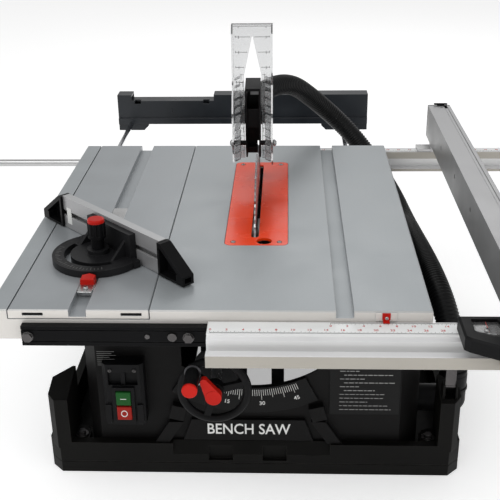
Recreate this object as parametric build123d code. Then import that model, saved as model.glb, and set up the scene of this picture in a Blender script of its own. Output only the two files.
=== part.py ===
"""Bench table saw with a sliding carriage, a sliding fence rail and a tilting blade.

Row frame: millimetres, +Z up, +Y away from the user, +X to the user's right.
The origin is the middle of the base's underside, right below the blade's middle.
The blade lies in the plane X = 0 and tilts about the line X = 0, Z = TABLE_Z.
"""
from build123d import *
import os
from math import atan, cos, degrees, pi, radians, sin, tan

os.makedirs("parts", exist_ok=True)

# ---------------------------------------------------------------- driving dimensions
TABLE_Z = 300.0            # height of the table's top
TABLE_X = (-325.0, 225.0)  # table's left and right edges
TABLE_Y = (-345.0, 300.0)  # table's front and rear edges
SKIRT = 41.0               # height of the table casting's rim
PLATE = 8.0                # thickness of the casting's top
WALL = 5.0                 # thickness of the casting's rim

CARRIAGE_X = (-300.0, -122.0)  # sliding carriage, with its running gaps
CARRIAGE_GAP = 1.2
CARRIAGE_T = 12.0
BED_Z = 270.0              # bed that the carriage's guide rods lie on

SLOT_W = 22.0              # mitre slots
SLOT_DEPTH = 9.5
LEFT_SLOT_X = -212.0
RIGHT_SLOT_X = 118.0

INSERT_X = (-42.0, 48.0)   # throat insert
INSERT_Y = (-150.0, 205.0)
INSERT_T = 4.0

BLADE_D = 255.0
BLADE_Z = 252.5            # arbor height with the blade fully raised
LIFT_TRAVEL = 28.0
SCREW_PITCH = 4.0

BASE_X = 290.0             # half width of the base
BASE_Y = 275.0             # half depth of the base
TRAY_H = 50.0
CAB_X = (-232.0, 232.0)    # cabinet walls
CAB_Y = (-262.0, 235.0)
CAB_TOP = 259.0
CAB_WALL = 3.0
SCALE_R = 162.0            # inner radius of the bevel scale's plate

WHEEL_R = 136.0            # handwheel shaft's distance from the tilt axis
WHEEL_ANGLE = -20.3        # its angle from straight down, positive to the right
WHEEL_X = WHEEL_R * sin(radians(WHEEL_ANGLE))
WHEEL_Z = TABLE_Z - WHEEL_R * cos(radians(WHEEL_ANGLE))
WHEEL_Y = -331.0           # front of the handwheel's rim

SCREW_Y = -115.0           # lift screw, in line with the handwheel's shaft
POST_X = -34.0             # lift posts
POST_Y = 75.0
POST_R = 7.0
MOTOR_Z = 182.0
PULLEY_X = (-60.0, -48.0)

RAIL_X = (-50.0, 510.0)    # sliding fence rails
RAIL_TOP = TABLE_Z - 14.0
FENCE_X = (309.0, 349.0)
FENCE_Y = (-352.0, 352.0)
FENCE_H = 60.0
FENCE_GAP = 1.5

OUTFEED_Y = (655.0, 690.0)
ROD_X = (-302.0, 166.0)    # outfeed support's rods
ROD_Z = 235.0
ROD_R = 5.0

GUARD_PIVOT = (85.0, 375.0)  # Y and Z of the guard hood's pivot
HOSE_D = 36.0
RUNNING = 0.06             # radial clearance of a shaft in its hole


# ---------------------------------------------------------------- shape helpers
def block(x0, x1, y0, y1, z0, z1):
    """A box between two corners."""
    centre = ((x0 + x1) / 2, (y0 + y1) / 2, (z0 + z1) / 2)
    return Pos(*centre) * Box(x1 - x0, y1 - y0, z1 - z0)


def along_x(y, z, x0, x1, r):
    return Pos((x0 + x1) / 2, y, z) * Rot(0, 90, 0) * Cylinder(r, x1 - x0)


def along_y(x, z, y0, y1, r):
    return Pos(x, (y0 + y1) / 2, z) * Rot(90, 0, 0) * Cylinder(r, y1 - y0)


def upright(x, y, z0, z1, r):
    return Pos(x, y, (z0 + z1) / 2) * Cylinder(r, z1 - z0)


def prism(points, direction):
    """A closed outline of 3-D points pushed along a direction."""
    outline = Polyline(*points, close=True)
    return extrude(make_face(outline), amount=Vector(*direction).length, dir=direction)


def slab_xz(points, y0, y1):
    return prism([(x, y0, z) for x, z in points], (0, y1 - y0, 0))


def slab_yz(points, x0, x1):
    return prism([(x0, y, z) for y, z in points], (x1 - x0, 0, 0))


def slab_xy(points, z0, z1):
    return prism([(x, y, z0) for x, y in points], (0, 0, z1 - z0))


def polar(radius, angle):
    """A point round the tilt axis; the angle is from straight down, positive right."""
    return (radius * sin(radians(angle)), TABLE_Z - radius * cos(radians(angle)))


def ring_sector(r0, r1, a0, a1, y0, y1):
    """Part of a flat ring round the tilt axis, between two angles."""
    middle = (a0 + a1) / 2
    outer = ThreePointArc((*polar(r1, a0),), (*polar(r1, middle),), (*polar(r1, a1),))
    inner = ThreePointArc((*polar(r0, a1),), (*polar(r0, middle),), (*polar(r0, a0),))
    ends = [Line(outer @ 1, inner @ 0), Line(inner @ 1, outer @ 0)]
    face = make_face([outer, ends[0], inner, ends[1]])
    upright_plane = Plane(origin=(0, y1, 0), x_dir=(1, 0, 0), z_dir=(0, -1, 0))
    return extrude(upright_plane * face, amount=y1 - y0)


def hex_head(across, height):
    return extrude(RegularPolygon(across / 2, 6, major_radius=False), amount=height)


def save(node, *pieces):
    """Write one node; several pieces stay separate solids."""
    shapes = []
    for piece in pieces:
        shapes.extend(piece.solids())
    shape = shapes[0] if len(shapes) == 1 else Compound(children=shapes)
    export_step(shape, f"parts/{node}.step")


# ---------------------------------------------------------------- base
def chamfered_plan(x0, x1, y0, y1, cuts):
    """Rectangle whose corners are cut; cuts run front left, front right, rear right, rear left."""
    a, b, c, d = cuts
    return [(x0, y0 + a), (x0 + a, y0), (x1 - b, y0), (x1, y0 + b),
            (x1, y1 - c), (x1 - c, y1), (x0 + d, y1), (x0, y1 - d)]


MID_X = (-113.0, 108.0)    # low middle stretch of the base's front
FIN_X = (257.0, 286.0)     # corner fins, inner and outer faces
FIN_LENGTHS = {(-1, -1): 66.0, (1, -1): 50.0, (-1, 1): 84.0, (1, 1): 84.0}
BENCH_HOLE = (252.0, 180.0)
BENCH_HOLE_R = 4.5
PAD_R = 18.0
PAD_T = 3.0
PAD_XY = (200.0, 230.0)
TRAY_FLOOR = 6.0
TRAY_WALL = 12.0
DUST_HOLE = (-110.0, 110.0, -190.0, 160.0)
LATCH_X = 270.0            # latch on the right front fin
LATCH_Y = -259.5
LATCH_Z = 140.0


def corner_fin(side, end):
    """Upright fin at one corner of the tray, leaning in towards its top."""
    inner, outer = FIN_X
    front = BASE_Y * end
    back = (BASE_Y - FIN_LENGTHS[side, end]) * end
    plan = [(inner * side, front), ((outer - 10) * side, front), (outer * side, front - 12 * end),
            (outer * side, back + 22 * end), ((inner + 4) * side, back), (inner * side, back)]
    fin = slab_xy(plan, TRAY_H - 10, 140)
    slope = [(BASE_Y * end, 120), (BASE_Y * end, 150), (back, 150), (back, 136)]
    fin -= slab_yz([(slope[0][0] + end, slope[0][1]), (slope[1][0] + end, 150),
                    (slope[2][0] - end, 150), (slope[3][0] - end, 136)], -400, 400)
    return fin


def make_base():
    tray = slab_xy(chamfered_plan(-BASE_X, BASE_X, -BASE_Y, BASE_Y, (16, 16, 16, 16)), 0, TRAY_H)
    inner = chamfered_plan(-BASE_X + TRAY_WALL, BASE_X - TRAY_WALL, -BASE_Y + TRAY_WALL,
                           BASE_Y - TRAY_WALL, (12, 12, 12, 12))
    tray -= slab_xy(inner, TRAY_FLOOR, TRAY_H + 1)
    tray -= block(DUST_HOLE[0], DUST_HOLE[1], DUST_HOLE[2], DUST_HOLE[3], -1, TRAY_FLOOR + 1)
    tray -= block(MID_X[0], MID_X[1], -BASE_Y - 1, -BASE_Y + TRAY_WALL + 1, 32, TRAY_H + 1)
    ledge = [(-BASE_Y, 31), (-BASE_Y + 9, TRAY_H), (-BASE_Y + TRAY_WALL, TRAY_H), (-BASE_Y + TRAY_WALL, 31)]
    tray += slab_yz(ledge, MID_X[0] - 0.5, MID_X[1] + 0.5)
    for notch_x in (-46.0, 30.0):
        tray -= block(notch_x - 17, notch_x + 17, -BASE_Y - 1, -BASE_Y + 6, 22, TRAY_H)
    for side in (-1, 1):
        for end in (-1, 1):
            tray += corner_fin(side, end)
            corner = [(278, 222), (278, 263), (235, 263), (235, 240), (245, 228)]
            tray += slab_xy([(x * side, y * end) for x, y in corner], 0, TRAY_H - 4)
            hole = upright(BENCH_HOLE[0] * side, BENCH_HOLE[1] * end, -1, TRAY_FLOOR + 1, BENCH_HOLE_R)
            pocket = upright(PAD_XY[0] * side, PAD_XY[1] * end, -1, PAD_T, PAD_R)
            tray -= hole + pocket
    seam = block(-BASE_X - 9, BASE_X + 9, -BASE_Y - 9, BASE_Y + 9, 17, 18)
    core = slab_xy(chamfered_plan(-BASE_X + 1, BASE_X - 1, -BASE_Y + 1, BASE_Y - 1, (16, 16, 16, 16)), 16, 19)
    tray -= seam - core
    # ears and pin of the latch, let into the top of the right front fin
    ear_y = (LATCH_Y - 7, LATCH_Y + 9)
    tray -= block(LATCH_X - 10, LATCH_X + 10, ear_y[0] - 1, ear_y[1] + 1, 118, LATCH_Z + 20)
    for ear_x in (LATCH_X - 10, LATCH_X + 7.3):
        tray += block(ear_x, ear_x + 2.7, *ear_y, 110, LATCH_Z + 4)
    tray += along_x(LATCH_Y, LATCH_Z, LATCH_X - 10, LATCH_X + 10, 1.5)
    save("base_tray", tray)

    pads = [upright(PAD_XY[0] * s, PAD_XY[1] * e, 0, PAD_T, PAD_R) for s in (-1, 1) for e in (-1, 1)]
    save("rubber_pads", *pads)


# ---------------------------------------------------------------- cabinet
def make_cabinet():
    cuts = (17, 28, 28, 17)
    shell = slab_xy(chamfered_plan(CAB_X[0], CAB_X[1], CAB_Y[0], CAB_Y[1], cuts), TRAY_FLOOR, CAB_TOP)
    inner_cuts = [cut - 1.0 for cut in cuts]
    shell -= slab_xy(chamfered_plan(CAB_X[0] + CAB_WALL, CAB_X[1] - CAB_WALL, CAB_Y[0] + CAB_WALL,
                                    CAB_Y[1] - CAB_WALL, inner_cuts), TRAY_FLOOR - 1, CAB_TOP + 1)
    shell += block(213, CAB_X[1] - 1, -190, 190, CAB_TOP - 4, CAB_TOP)
    opening = along_y(0, TABLE_Z, CAB_Y[0] - 20, CAB_Y[0] + 20, SCALE_R)
    shell -= opening & block(-97, 95, CAB_Y[0] - 20, CAB_Y[0] + 20, 100, 262)
    shell -= along_y(ROD_X[1], ROD_Z, CAB_Y[1] - 10, CAB_Y[1] + 10, ROD_R + 2)
    shell -= along_x(ELBOW_Y, ELBOW_Z, CAB_X[1] - 10, CAB_X[1] + 10, HOSE_D / 2 + 2.5)
    # sloping ribs from the tray's front corners up to the scale's plate
    shell += slab_xz([(-138, 50), (-118, 50), (-97, 84), (-117, 84)], CAB_Y[0] - 10, CAB_Y[0])
    shell += slab_xz([(104, 50), (124, 50), (101, 86), (81, 86)], CAB_Y[0] - 10, CAB_Y[0])
    # end blocks of the scale, above the ribs
    shell += slab_xz([(83, 87), (103, 92), (97, 113), (77, 108)], CAB_Y[0] - 12, CAB_Y[0])
    shell += slab_xz([(-97, 87), (-117, 92), (-111, 113), (-91, 108)], CAB_Y[0] - 12, CAB_Y[0])
    # blank raised badge field
    shell += slab_xz([(-98, 52), (84, 52), (72, 86), (-86, 86)], CAB_Y[0] - 6, CAB_Y[0])
    for z in (105, 125, 145, 165, 185):
        shell -= block(CAB_X[0] - 2, CAB_X[0] + 6, -30, 120, z, z + 8)
        shell -= block(40, 190, CAB_Y[1] - 6, CAB_Y[1] + 2, z - 60, z - 52)
    save("cabinet", shell)

    save("bevel_scale", ring_sector(SCALE_R, 202, -33.5, 26.5, CAB_Y[0] - 5, CAB_Y[0]))
    plate = block(106, 202, CAB_Y[0] - 1.2, CAB_Y[0], 94, 180)
    save("rating_plate", plate)


ELBOW_Y = -185.0           # dust elbow on the cabinet's right wall
ELBOW_Z = 72.0
ELBOW_X = 288.0            # upright branch that the hose fits
ELBOW_TOP = 89.0


# ---------------------------------------------------------------- switch
SWITCH_X = -175.0
SWITCH_FRONT = CAB_Y[0] - 22
BUTTONS = {"start_button": 133.5, "stop_button": 110.0}
BUTTON_W = 20.0
BUTTON_H = 21.0


def make_switch():
    z0, z1 = 88.0, 184.0
    box = block(SWITCH_X - 28, SWITCH_X + 28, SWITCH_FRONT, CAB_Y[0], z0, z1)
    box = chamfer(box.edges().filter_by(Axis.Z).group_by(Axis.Y)[0], 5)
    box -= block(SWITCH_X - 20, SWITCH_X + 20, SWITCH_FRONT - 1, SWITCH_FRONT + 6, 152, 172)
    box += block(SWITCH_X - 3, SWITCH_X + 3, SWITCH_FRONT + 2, SWITCH_FRONT + 7, 152, 172)
    box += block(SWITCH_X - 15, SWITCH_X + 15, SWITCH_FRONT - 4, SWITCH_FRONT, 93, 150)
    half = BUTTON_W / 2 + 0.4
    box -= block(SWITCH_X - half, SWITCH_X + half, SWITCH_FRONT - 5, SWITCH_FRONT + 14, 99, 145)
    for ear_x in (-26.0, 18.0):
        box += block(SWITCH_X + ear_x, SWITCH_X + ear_x + 8, SWITCH_FRONT - 3, SWITCH_FRONT, 92, 122)
    save("switch_box", box)
    for node, z in BUTTONS.items():
        half_h = BUTTON_H / 2
        cap = block(SWITCH_X - BUTTON_W / 2, SWITCH_X + BUTTON_W / 2, SWITCH_FRONT - 6.5,
                    SWITCH_FRONT + 6, z - half_h, z + half_h)
        cap = fillet(cap.edges().group_by(Axis.Y)[0], 1.4)
        save(node, cap)


# ---------------------------------------------------------------- table
def make_table():
    x0, x1 = TABLE_X
    y0, y1 = TABLE_Y
    low = TABLE_Z - SKIRT
    cast = block(x0, x1, y0, y1, low, TABLE_Z)
    cast = chamfer(cast.edges().group_by(Axis.Z)[-1], 1.5)
    cast -= block(x0 + WALL, x1 - WALL, y0 + WALL, y1 - WALL, low - 1, TABLE_Z - PLATE)
    left, right = CARRIAGE_X
    cast -= block(left, right, y0 - 1, y1 + 1, TABLE_Z - CARRIAGE_T - 1, TABLE_Z + 1)
    cast += block(left - WALL, right + WALL, y0 + 1, y1 - 1, BED_Z - 6, TABLE_Z - 13)
    cast += block(left - WALL, left, y0 + 2, y1 - 2, BED_Z - 6, TABLE_Z - 2)
    cast += block(right, right + WALL, y0 + 2, y1 - 2, BED_Z - 6, TABLE_Z - 2)
    cast -= block(left, right, y0 + WALL, y1 - WALL, BED_Z, TABLE_Z + 1)
    # boss for the right mitre slot
    cast += block(RIGHT_SLOT_X - 16, RIGHT_SLOT_X + 16, y0 + 2, y1 - 2, TABLE_Z - 15, TABLE_Z - 4)
    # throat: a pocket for the insert, with a ledge under its edge
    gap = 0.6
    pocket = block(INSERT_X[0] - gap, INSERT_X[1] + gap, INSERT_Y[0] - gap, INSERT_Y[1] + gap,
                   TABLE_Z - INSERT_T, TABLE_Z + 1)
    cast -= fillet(pocket.edges().filter_by(Axis.Z), 10)
    cast -= block(INSERT_X[0] + 7, INSERT_X[1] - 7, INSERT_Y[0] + 8, INSERT_Y[1] - 8, low, TABLE_Z)
    # ribs that stand on the cabinet's walls
    cast += block(CAB_X[0], CAB_X[0] + 4, CAB_Y[0] + 30, CAB_Y[1] - 30, CAB_TOP, BED_Z - 5)
    cast += block(-200, 200, CAB_Y[0], CAB_Y[0] + 4, CAB_TOP, BED_Z - 5)
    cast += block(right + 4, 200, CAB_Y[0], CAB_Y[0] + 4, CAB_TOP, TABLE_Z - 7)
    cast += block(-200, 200, CAB_Y[1] - 4, CAB_Y[1], CAB_TOP, BED_Z - 5)
    cast += block(right + 4, 200, CAB_Y[1] - 4, CAB_Y[1], CAB_TOP, TABLE_Z - 7)
    for rib_x in (92.0, 165.0):
        cast += block(rib_x, rib_x + 4, y0 + 4, y1 - 4, TABLE_Z - 18, TABLE_Z - 7)
    cast -= block(RIGHT_SLOT_X - SLOT_W / 2, RIGHT_SLOT_X + SLOT_W / 2, y0 - 1, y1 + 1,
                  TABLE_Z - SLOT_DEPTH, TABLE_Z + 1)
    save("table_casting", cast)

    insert = block(*INSERT_X, *INSERT_Y, TABLE_Z - INSERT_T, TABLE_Z)
    insert = fillet(insert.edges().filter_by(Axis.Z), 9.5)
    slot = block(-5, 6, -122, 191, TABLE_Z - 9, TABLE_Z + 1)
    insert -= fillet(slot.edges().filter_by(Axis.Z), 4.5)
    insert -= block(-7, 8, -124, 193, TABLE_Z - 9, TABLE_Z - 2.5)
    insert -= upright(14, -135, TABLE_Z - 9, TABLE_Z + 1, 11)
    for x, y in ((-30, -138), (36, -138), (-30, 193), (36, 193)):
        insert -= upright(x, y, TABLE_Z - 1.2, TABLE_Z + 1, 4)
    save("throat_insert", insert)

    # guide rods on the bed, each on a low foot
    rods = []
    for rod_x in (-285.0, -137.0):
        rod = along_y(rod_x, BED_Z + 7, TABLE_Y[0] + 8, TABLE_Y[1] - 8, 4)
        rod += block(rod_x - 2, rod_x + 2, TABLE_Y[0] + 8, TABLE_Y[1] - 8, BED_Z, BED_Z + 6)
        rods.append(rod)
    save("carriage_guide_rods", *rods)


def make_carriage():
    x0 = CARRIAGE_X[0] + CARRIAGE_GAP
    x1 = CARRIAGE_X[1] - CARRIAGE_GAP
    top = block(x0, x1, *TABLE_Y, TABLE_Z - CARRIAGE_T, TABLE_Z)
    top = chamfer(top.edges().group_by(Axis.Z)[-1], 1.2)
    top -= block(LEFT_SLOT_X - SLOT_W / 2, LEFT_SLOT_X + SLOT_W / 2, TABLE_Y[0] - 1, TABLE_Y[1] + 1,
                 TABLE_Z - SLOT_DEPTH, TABLE_Z + 1)
    for low_x in (-290.0, -190.0, -175.0):
        wide = 55 if low_x < -200 else 10
        if low_x == -175.0:
            wide = 45
        top -= block(low_x, low_x + wide, TABLE_Y[0] + 60, TABLE_Y[1] - 60, 280, TABLE_Z - 7)
    # dark slots in the front edge
    for slot_x in (-281.0, -158.0):
        top -= block(slot_x, slot_x + 26, TABLE_Y[0] - 1, TABLE_Y[0] + 9, TABLE_Z - 8, TABLE_Z - 4)
    save("sliding_table", top)

    bearings = []
    for rod_x in (-285.0, -137.0):
        for y in (-200.0, -60.0):
            piece = block(rod_x - 10, rod_x + 10, y, y + 40, BED_Z + 1.5, TABLE_Z - CARRIAGE_T)
            piece -= along_y(rod_x, BED_Z + 7, y - 1, y + 41, 4 + RUNNING)
            piece -= block(rod_x - 3, rod_x + 3, y - 1, y + 41, BED_Z, BED_Z + 7)
            bearings.append(piece)
    save("carriage_bearings", *bearings)


# ---------------------------------------------------------------- rails
GUIDE_TOP = TABLE_Z - 18.0
GUIDE_LOW = TABLE_Z - 45.0
BOLT_X = (-274.0, -74.0, 60.0, 200.0)
REAR_TUBE_Z = TABLE_Z - 37.0
REAR_TUBE_Y = 310.0


def make_rails():
    y = TABLE_Y[0]
    guide = block(-282, 215, y - 10, y, GUIDE_LOW, GUIDE_TOP)
    for groove_z in (GUIDE_LOW + 5, GUIDE_TOP - 6):
        guide -= block(-283, 216, y - 11, y - 8.5, groove_z, groove_z + 1.5)
    save("front_rail_guide", guide)

    screws = []
    head = Rot(90, 0, 0) * hex_head(11, 5)
    for bolt_x in BOLT_X[:2]:
        screws.append(Pos(bolt_x, y - 10, GUIDE_LOW + 13) * (head + Pos(0, -1.2, 0) * Rot(90, 0, 0) * Cylinder(7, 1)))
    screws.append(along_y(-94, GUIDE_LOW + 14, y - 13, y - 10, 5.5))
    screws.append(along_y(-125, GUIDE_LOW + 14, y - 11.5, y - 10, 3))
    for side in (-1, 1):
        for end in (-1, 1):
            washer = upright(247 * side, 249 * end, TRAY_H - 4, TRAY_H - 2.5, 9)
            screws.append(washer + Pos(247 * side, 249 * end, TRAY_H - 2.5) * hex_head(10, 5))
    for x, yy in ((-30, -138), (36, -138), (-30, 193), (36, 193)):
        screws.append(upright(x, yy, TABLE_Z - 1.2, TABLE_Z - 0.3, 3.8))
    save("frame_screws", *screws)

    # front rail: a hollow nose, and a hood over the guide behind it
    x0, x1 = RAIL_X
    back = y - 1.5
    profile = [(back, RAIL_TOP), (back, RAIL_TOP - 3), (y - 11, RAIL_TOP - 3), (y - 11, RAIL_TOP - 32),
               (y - 58, RAIL_TOP - 32), (y - 58, RAIL_TOP - 16), (y - 45, RAIL_TOP - 16),
               (y - 45, RAIL_TOP - 22), (y - 38, RAIL_TOP - 22), (y - 38, RAIL_TOP - 6),
               (y - 32, RAIL_TOP - 3), (y - 32, RAIL_TOP)]
    rail = slab_yz(profile, x0, x1)
    rail -= block(x0 - 1, x1 + 1, y - 35, y - 14, RAIL_TOP - 29, RAIL_TOP - 6)
    rail -= block(x0 - 1, x1 + 1, y - 55, y - 38, RAIL_TOP - 29, RAIL_TOP - 25)
    rail -= block(x0 - 1, x1 + 1, y - 15, y - 10.5, RAIL_TOP - 26.5, RAIL_TOP - 8.5)
    save("front_rail", rail)

    # rear rail rides on a round tube
    rear = TABLE_Y[1]
    back_rail = block(x0, x1, rear + 2, rear + 22, TABLE_Z - 52, RAIL_TOP)
    back_rail -= block(x0 - 1, x1 + 1, rear + 4, rear + 20, TABLE_Z - 47, RAIL_TOP - 3)
    back_rail -= block(x0 - 1, x1 + 1, rear + 1, rear + 5, TABLE_Z - 47, TABLE_Z - 27)
    back_rail += block(x0, x1, rear + 22, rear + 26, RAIL_TOP - 12, RAIL_TOP)
    save("rear_rail", back_rail)

    tube = along_x(REAR_TUBE_Y, REAR_TUBE_Z, -526, 215, 6.5)
    tube -= along_x(REAR_TUBE_Y, REAR_TUBE_Z, -527, 216, 5)
    cap = along_x(REAR_TUBE_Y, REAR_TUBE_Z, -530, -526, 7.5)
    feet = []
    for foot_x in (-310.0, -90.0):
        foot = block(foot_x, foot_x + 16, rear, REAR_TUBE_Y + 9, REAR_TUBE_Z - 9, REAR_TUBE_Z + 9)
        foot -= along_x(REAR_TUBE_Y, REAR_TUBE_Z, foot_x - 1, foot_x + 17, 6.5)
        feet.append(foot)
    save("rear_guide_tube", tube, cap, *feet)

    pointer = slab_xz([(163, 290), (163, 298.5), (173, 298.5), (173, 290), (168, 287.2)], y - 2.5, y - 1)
    pointer += block(164, 172, y - 7, y - 1, 287.2, 288.4)
    plate = block(155, 181, y - 1, y, 287.5, 299)
    save("scale_pointer", pointer, plate)


# ---------------------------------------------------------------- rip fence
HEAD_X = (FENCE_X[0] - 58.0, FENCE_X[1] + 58.0)
HEAD_T = 18.0
HEAD_Z = RAIL_TOP + 0.6


def make_fence():
    x0, x1 = FENCE_X
    z0 = TABLE_Z + FENCE_GAP
    z1 = TABLE_Z + FENCE_H
    beam = block(x0, x1, *FENCE_Y, z0, z1)
    beam -= block(x0 + 3, x1 - 3, FENCE_Y[0] - 1, FENCE_Y[1] + 1, z0 + 3, z1 - 10)
    beam -= block(x1 - 12, x1 - 6, FENCE_Y[0] - 1, FENCE_Y[1] + 1, z1 - 5, z1 + 1)
    beam -= block(x1 - 15, x1 - 3, FENCE_Y[0] - 1, FENCE_Y[1] + 1, z1 - 9, z1 - 5)
    for hole_y in (180.0, 40.0, -100.0):
        beam -= along_x(hole_y, z0 + 32, x0 - 1, x0 + 4, 4.2)
    save("fence_beam", beam)

    y_front = TABLE_Y[0] - 94
    y_back = TABLE_Y[0] - 17
    plan = [(HEAD_X[0], y_back), (HEAD_X[0], y_front + 27), (HEAD_X[0] + 6, y_front + 21),
            (HEAD_X[0] + 42, y_front), (HEAD_X[1] - 42, y_front), (HEAD_X[1] - 6, y_front + 21),
            (HEAD_X[1], y_front + 27), (HEAD_X[1], y_back)]
    head = slab_xy(plan, HEAD_Z, HEAD_Z + HEAD_T)
    head = chamfer(head.edges().group_by(Axis.Z)[-1], 2.5)
    # a nose hangs in front of the rail under the beam
    head += block(x0 - 10, x1 + 10, y_front, TABLE_Y[0] - 61, HEAD_Z - 30, HEAD_Z + 2)
    # window over the rule: a recess for the lens with an opening under it
    left, far = x0 - 44.5, TABLE_Y[0] - 26
    recess = [(left, far), (left + 31, far), (left + 38.5, far - 17), (left + 38.5, far - 42),
              (left + 20, far - 40), (left, far - 31)]
    opening = [(left + 3.5, far - 4), (left + 29.5, far - 4), (left + 34.5, far - 18), (left + 34.5, far - 36),
               (left + 21, far - 35), (left + 3.5, far - 28)]
    head -= slab_xy(recess, HEAD_Z + HEAD_T - 6, HEAD_Z + HEAD_T + 1)
    head -= slab_xy(opening, HEAD_Z - 1, HEAD_Z + HEAD_T)
    head += block(x0, x1, y_back - 40, FENCE_Y[0], HEAD_Z + HEAD_T - 2, z0 + 44)
    lever_gap = block(x0 - 2, x1 + 2, y_front - 1, y_front + 20, HEAD_Z - 31, HEAD_Z + 14)
    head -= lever_gap
    save("fence_head", head)

    lever = block(x0, x1, y_front - 6, y_front + 4, HEAD_Z - 42, HEAD_Z + 8)
    lever = fillet(lever.edges().filter_by(Axis.X), 3.5)
    lever += along_x(y_front + 10, HEAD_Z + 6, x0, x1, 4)
    lever += block(x0, x1, y_front, y_front + 10, HEAD_Z + 2, HEAD_Z + 9)
    save("fence_lever", lever)

    foot = block(x0 + 3, x1 - 3, 301, 330, RAIL_TOP + 0.6, z0)
    foot += block(x0 - 22, x0 + 3, 303, 332, RAIL_TOP + 0.6, RAIL_TOP + 5)
    foot += block(x0 - 22, x1 - 3, 327, 332, RAIL_TOP - 16, RAIL_TOP + 5)
    save("fence_rear_foot", foot)

    cap = block(x0, x1, FENCE_Y[1], FENCE_Y[1] + 4, z0, z1)
    cap += block(x1 - 14, x1 - 4, FENCE_Y[1] - 16, FENCE_Y[1] + 4, z1 - 8.5, z1 - 5.6)
    save("fence_end_cap", cap)


# ---------------------------------------------------------------- mitre gauge
MITRE_Y = -195.0           # pivot of the mitre head, on the carriage's slot
MITRE_TURN = -45.0         # how the head stands
HEAD_R = 63.0


def make_mitre():
    floor = TABLE_Z - SLOT_DEPTH
    bar = block(LEFT_SLOT_X - SLOT_W / 2 + 0.25, LEFT_SLOT_X + SLOT_W / 2 - 0.25, -290, -10,
                floor + 0.4, TABLE_Z - 0.4)
    bar -= block(LEFT_SLOT_X - 4, LEFT_SLOT_X + 4, -288, -262, TABLE_Z - 3, TABLE_Z + 1)
    bar += upright(LEFT_SLOT_X, MITRE_Y, TABLE_Z - 2, TABLE_Z + 30, 3.9)
    save("mitre_bar", bar)

    # indicator on the bar, in front of the head
    tip_y = MITRE_Y - HEAD_R
    flag = slab_xy([(LEFT_SLOT_X - 9, tip_y - 20), (LEFT_SLOT_X + 9, tip_y - 20), (LEFT_SLOT_X + 9, tip_y - 6),
                    (LEFT_SLOT_X, tip_y - 0.8), (LEFT_SLOT_X - 9, tip_y - 6)], TABLE_Z - 0.4, TABLE_Z + 9)
    save("mitre_pointer", fillet(flag.edges().group_by(Axis.Z)[-1], 1.5))

    turn = Pos(LEFT_SLOT_X, MITRE_Y, 0) * Rot(0, 0, MITRE_TURN)
    base_z = TABLE_Z + 0.6
    disc = upright(0, 0, base_z, base_z + 10, HEAD_R) & block(-70, 70, -70, 24, 290, 330)
    disc += block(-HEAD_R, HEAD_R, 14, 24, base_z, base_z + 10)
    slot = upright(0, 0, 290, 330, 47) - upright(0, 0, 289, 331, 38)
    disc -= slot & block(-70, 70, -70, -8, 290, 330)
    disc += block(-50, 50, 18, 28, base_z, base_z + 44)
    for rib_x in (-40.0, 36.0):
        disc += slab_yz([(-6, base_z + 9), (19, base_z + 9), (19, base_z + 34)], rib_x, rib_x + 4)
    disc += upright(0, 0, base_z, base_z + 16, 15)
    disc -= upright(0, 0, 289, 340, 3.9 + RUNNING)
    save("mitre_head", turn * disc)

    face = block(-128, 102, 28, 40, base_z + 0.5, base_z + 49)
    face -= block(-129, 103, 27, 32, base_z + 20, base_z + 28)
    face -= block(-129, 103, 31, 36, base_z + 16, base_z + 32)
    save("mitre_fence", turn * face)

    # end brackets: a plate, a slanting strut and a foot that ends in a square tube, closed behind
    ends = []
    for sign, start in ((1, 102), (-1, -128)):
        near = block(0, 4, 24, 42, base_z + 2, base_z + 48)
        near += slab_xz([(0, base_z + 48), (7, base_z + 48), (52, base_z + 15), (46, base_z + 12),
                         (3, base_z + 43)], 24, 42)
        near += block(0, 50, 24, 42, base_z + 2, base_z + 5)
        near += slab_xz([(0, base_z + 46), (48, base_z + 13), (48, base_z + 3), (0, base_z + 3)], 38, 41)
        near += block(38, 52, 24, 42, base_z + 2, base_z + 15)
        near -= block(41, 53, 27, 38, base_z + 5, base_z + 12)
        if sign < 0:
            near = mirror(near, about=Plane.YZ)
        ends.append(turn * (Pos(start, 0, 0) * near))
    save("mitre_brackets", *ends)

    grip = upright(LEFT_SLOT_X, MITRE_Y, base_z + 16.4, base_z + 34, 8.8)
    grip += upright(LEFT_SLOT_X, MITRE_Y, base_z + 32, base_z + 54, 12.3)
    grip -= upright(LEFT_SLOT_X, MITRE_Y, base_z + 15, base_z + 31.5, 3.9 + RUNNING)
    for step in range(10):
        angle = radians(36 * step)
        grip -= upright(LEFT_SLOT_X + 13.3 * cos(angle), MITRE_Y + 13.3 * sin(angle), base_z + 36, base_z + 60, 2.2)
    save("mitre_knob", grip)
    cap = upright(LEFT_SLOT_X, MITRE_Y, base_z + 54, base_z + 59, 11.5)
    save("mitre_knob_cap", fillet(cap.edges().group_by(Axis.Z)[-1], 2))


# ---------------------------------------------------------------- tilting frame
TRUNNION_Y = (-212.0, -206.0)
REAR_TRUNNION_Y = (208.0, 214.0)
PIN_R = 4.0
PIN_PATH = 60.0
PIN_ANGLES = (-50.0, -5.0)


def trunnion(y0, y1, outward):
    """Arc plate with two guide pins and a web that hangs down from it."""
    plate = ring_sector(46, 74, -72, 33, y0, y1)
    plate += slab_xz([(-75, 84), (-10, 84), (-10, 246), (-20, 252), (-62, 262), (-75, 250)], y0, y1)
    plate += slab_xz([(25, 104), (43, 104), (43, 240), (34, 246), (25, 240)], y0, y1)
    pin_y = (y0 - 12, y0 + 1) if outward < 0 else (y1 - 1, y1 + 12)
    for angle in PIN_ANGLES:
        x, z = polar(PIN_PATH, angle)
        plate += along_y(x, z, pin_y[0], pin_y[1], PIN_R)
    return plate


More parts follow.
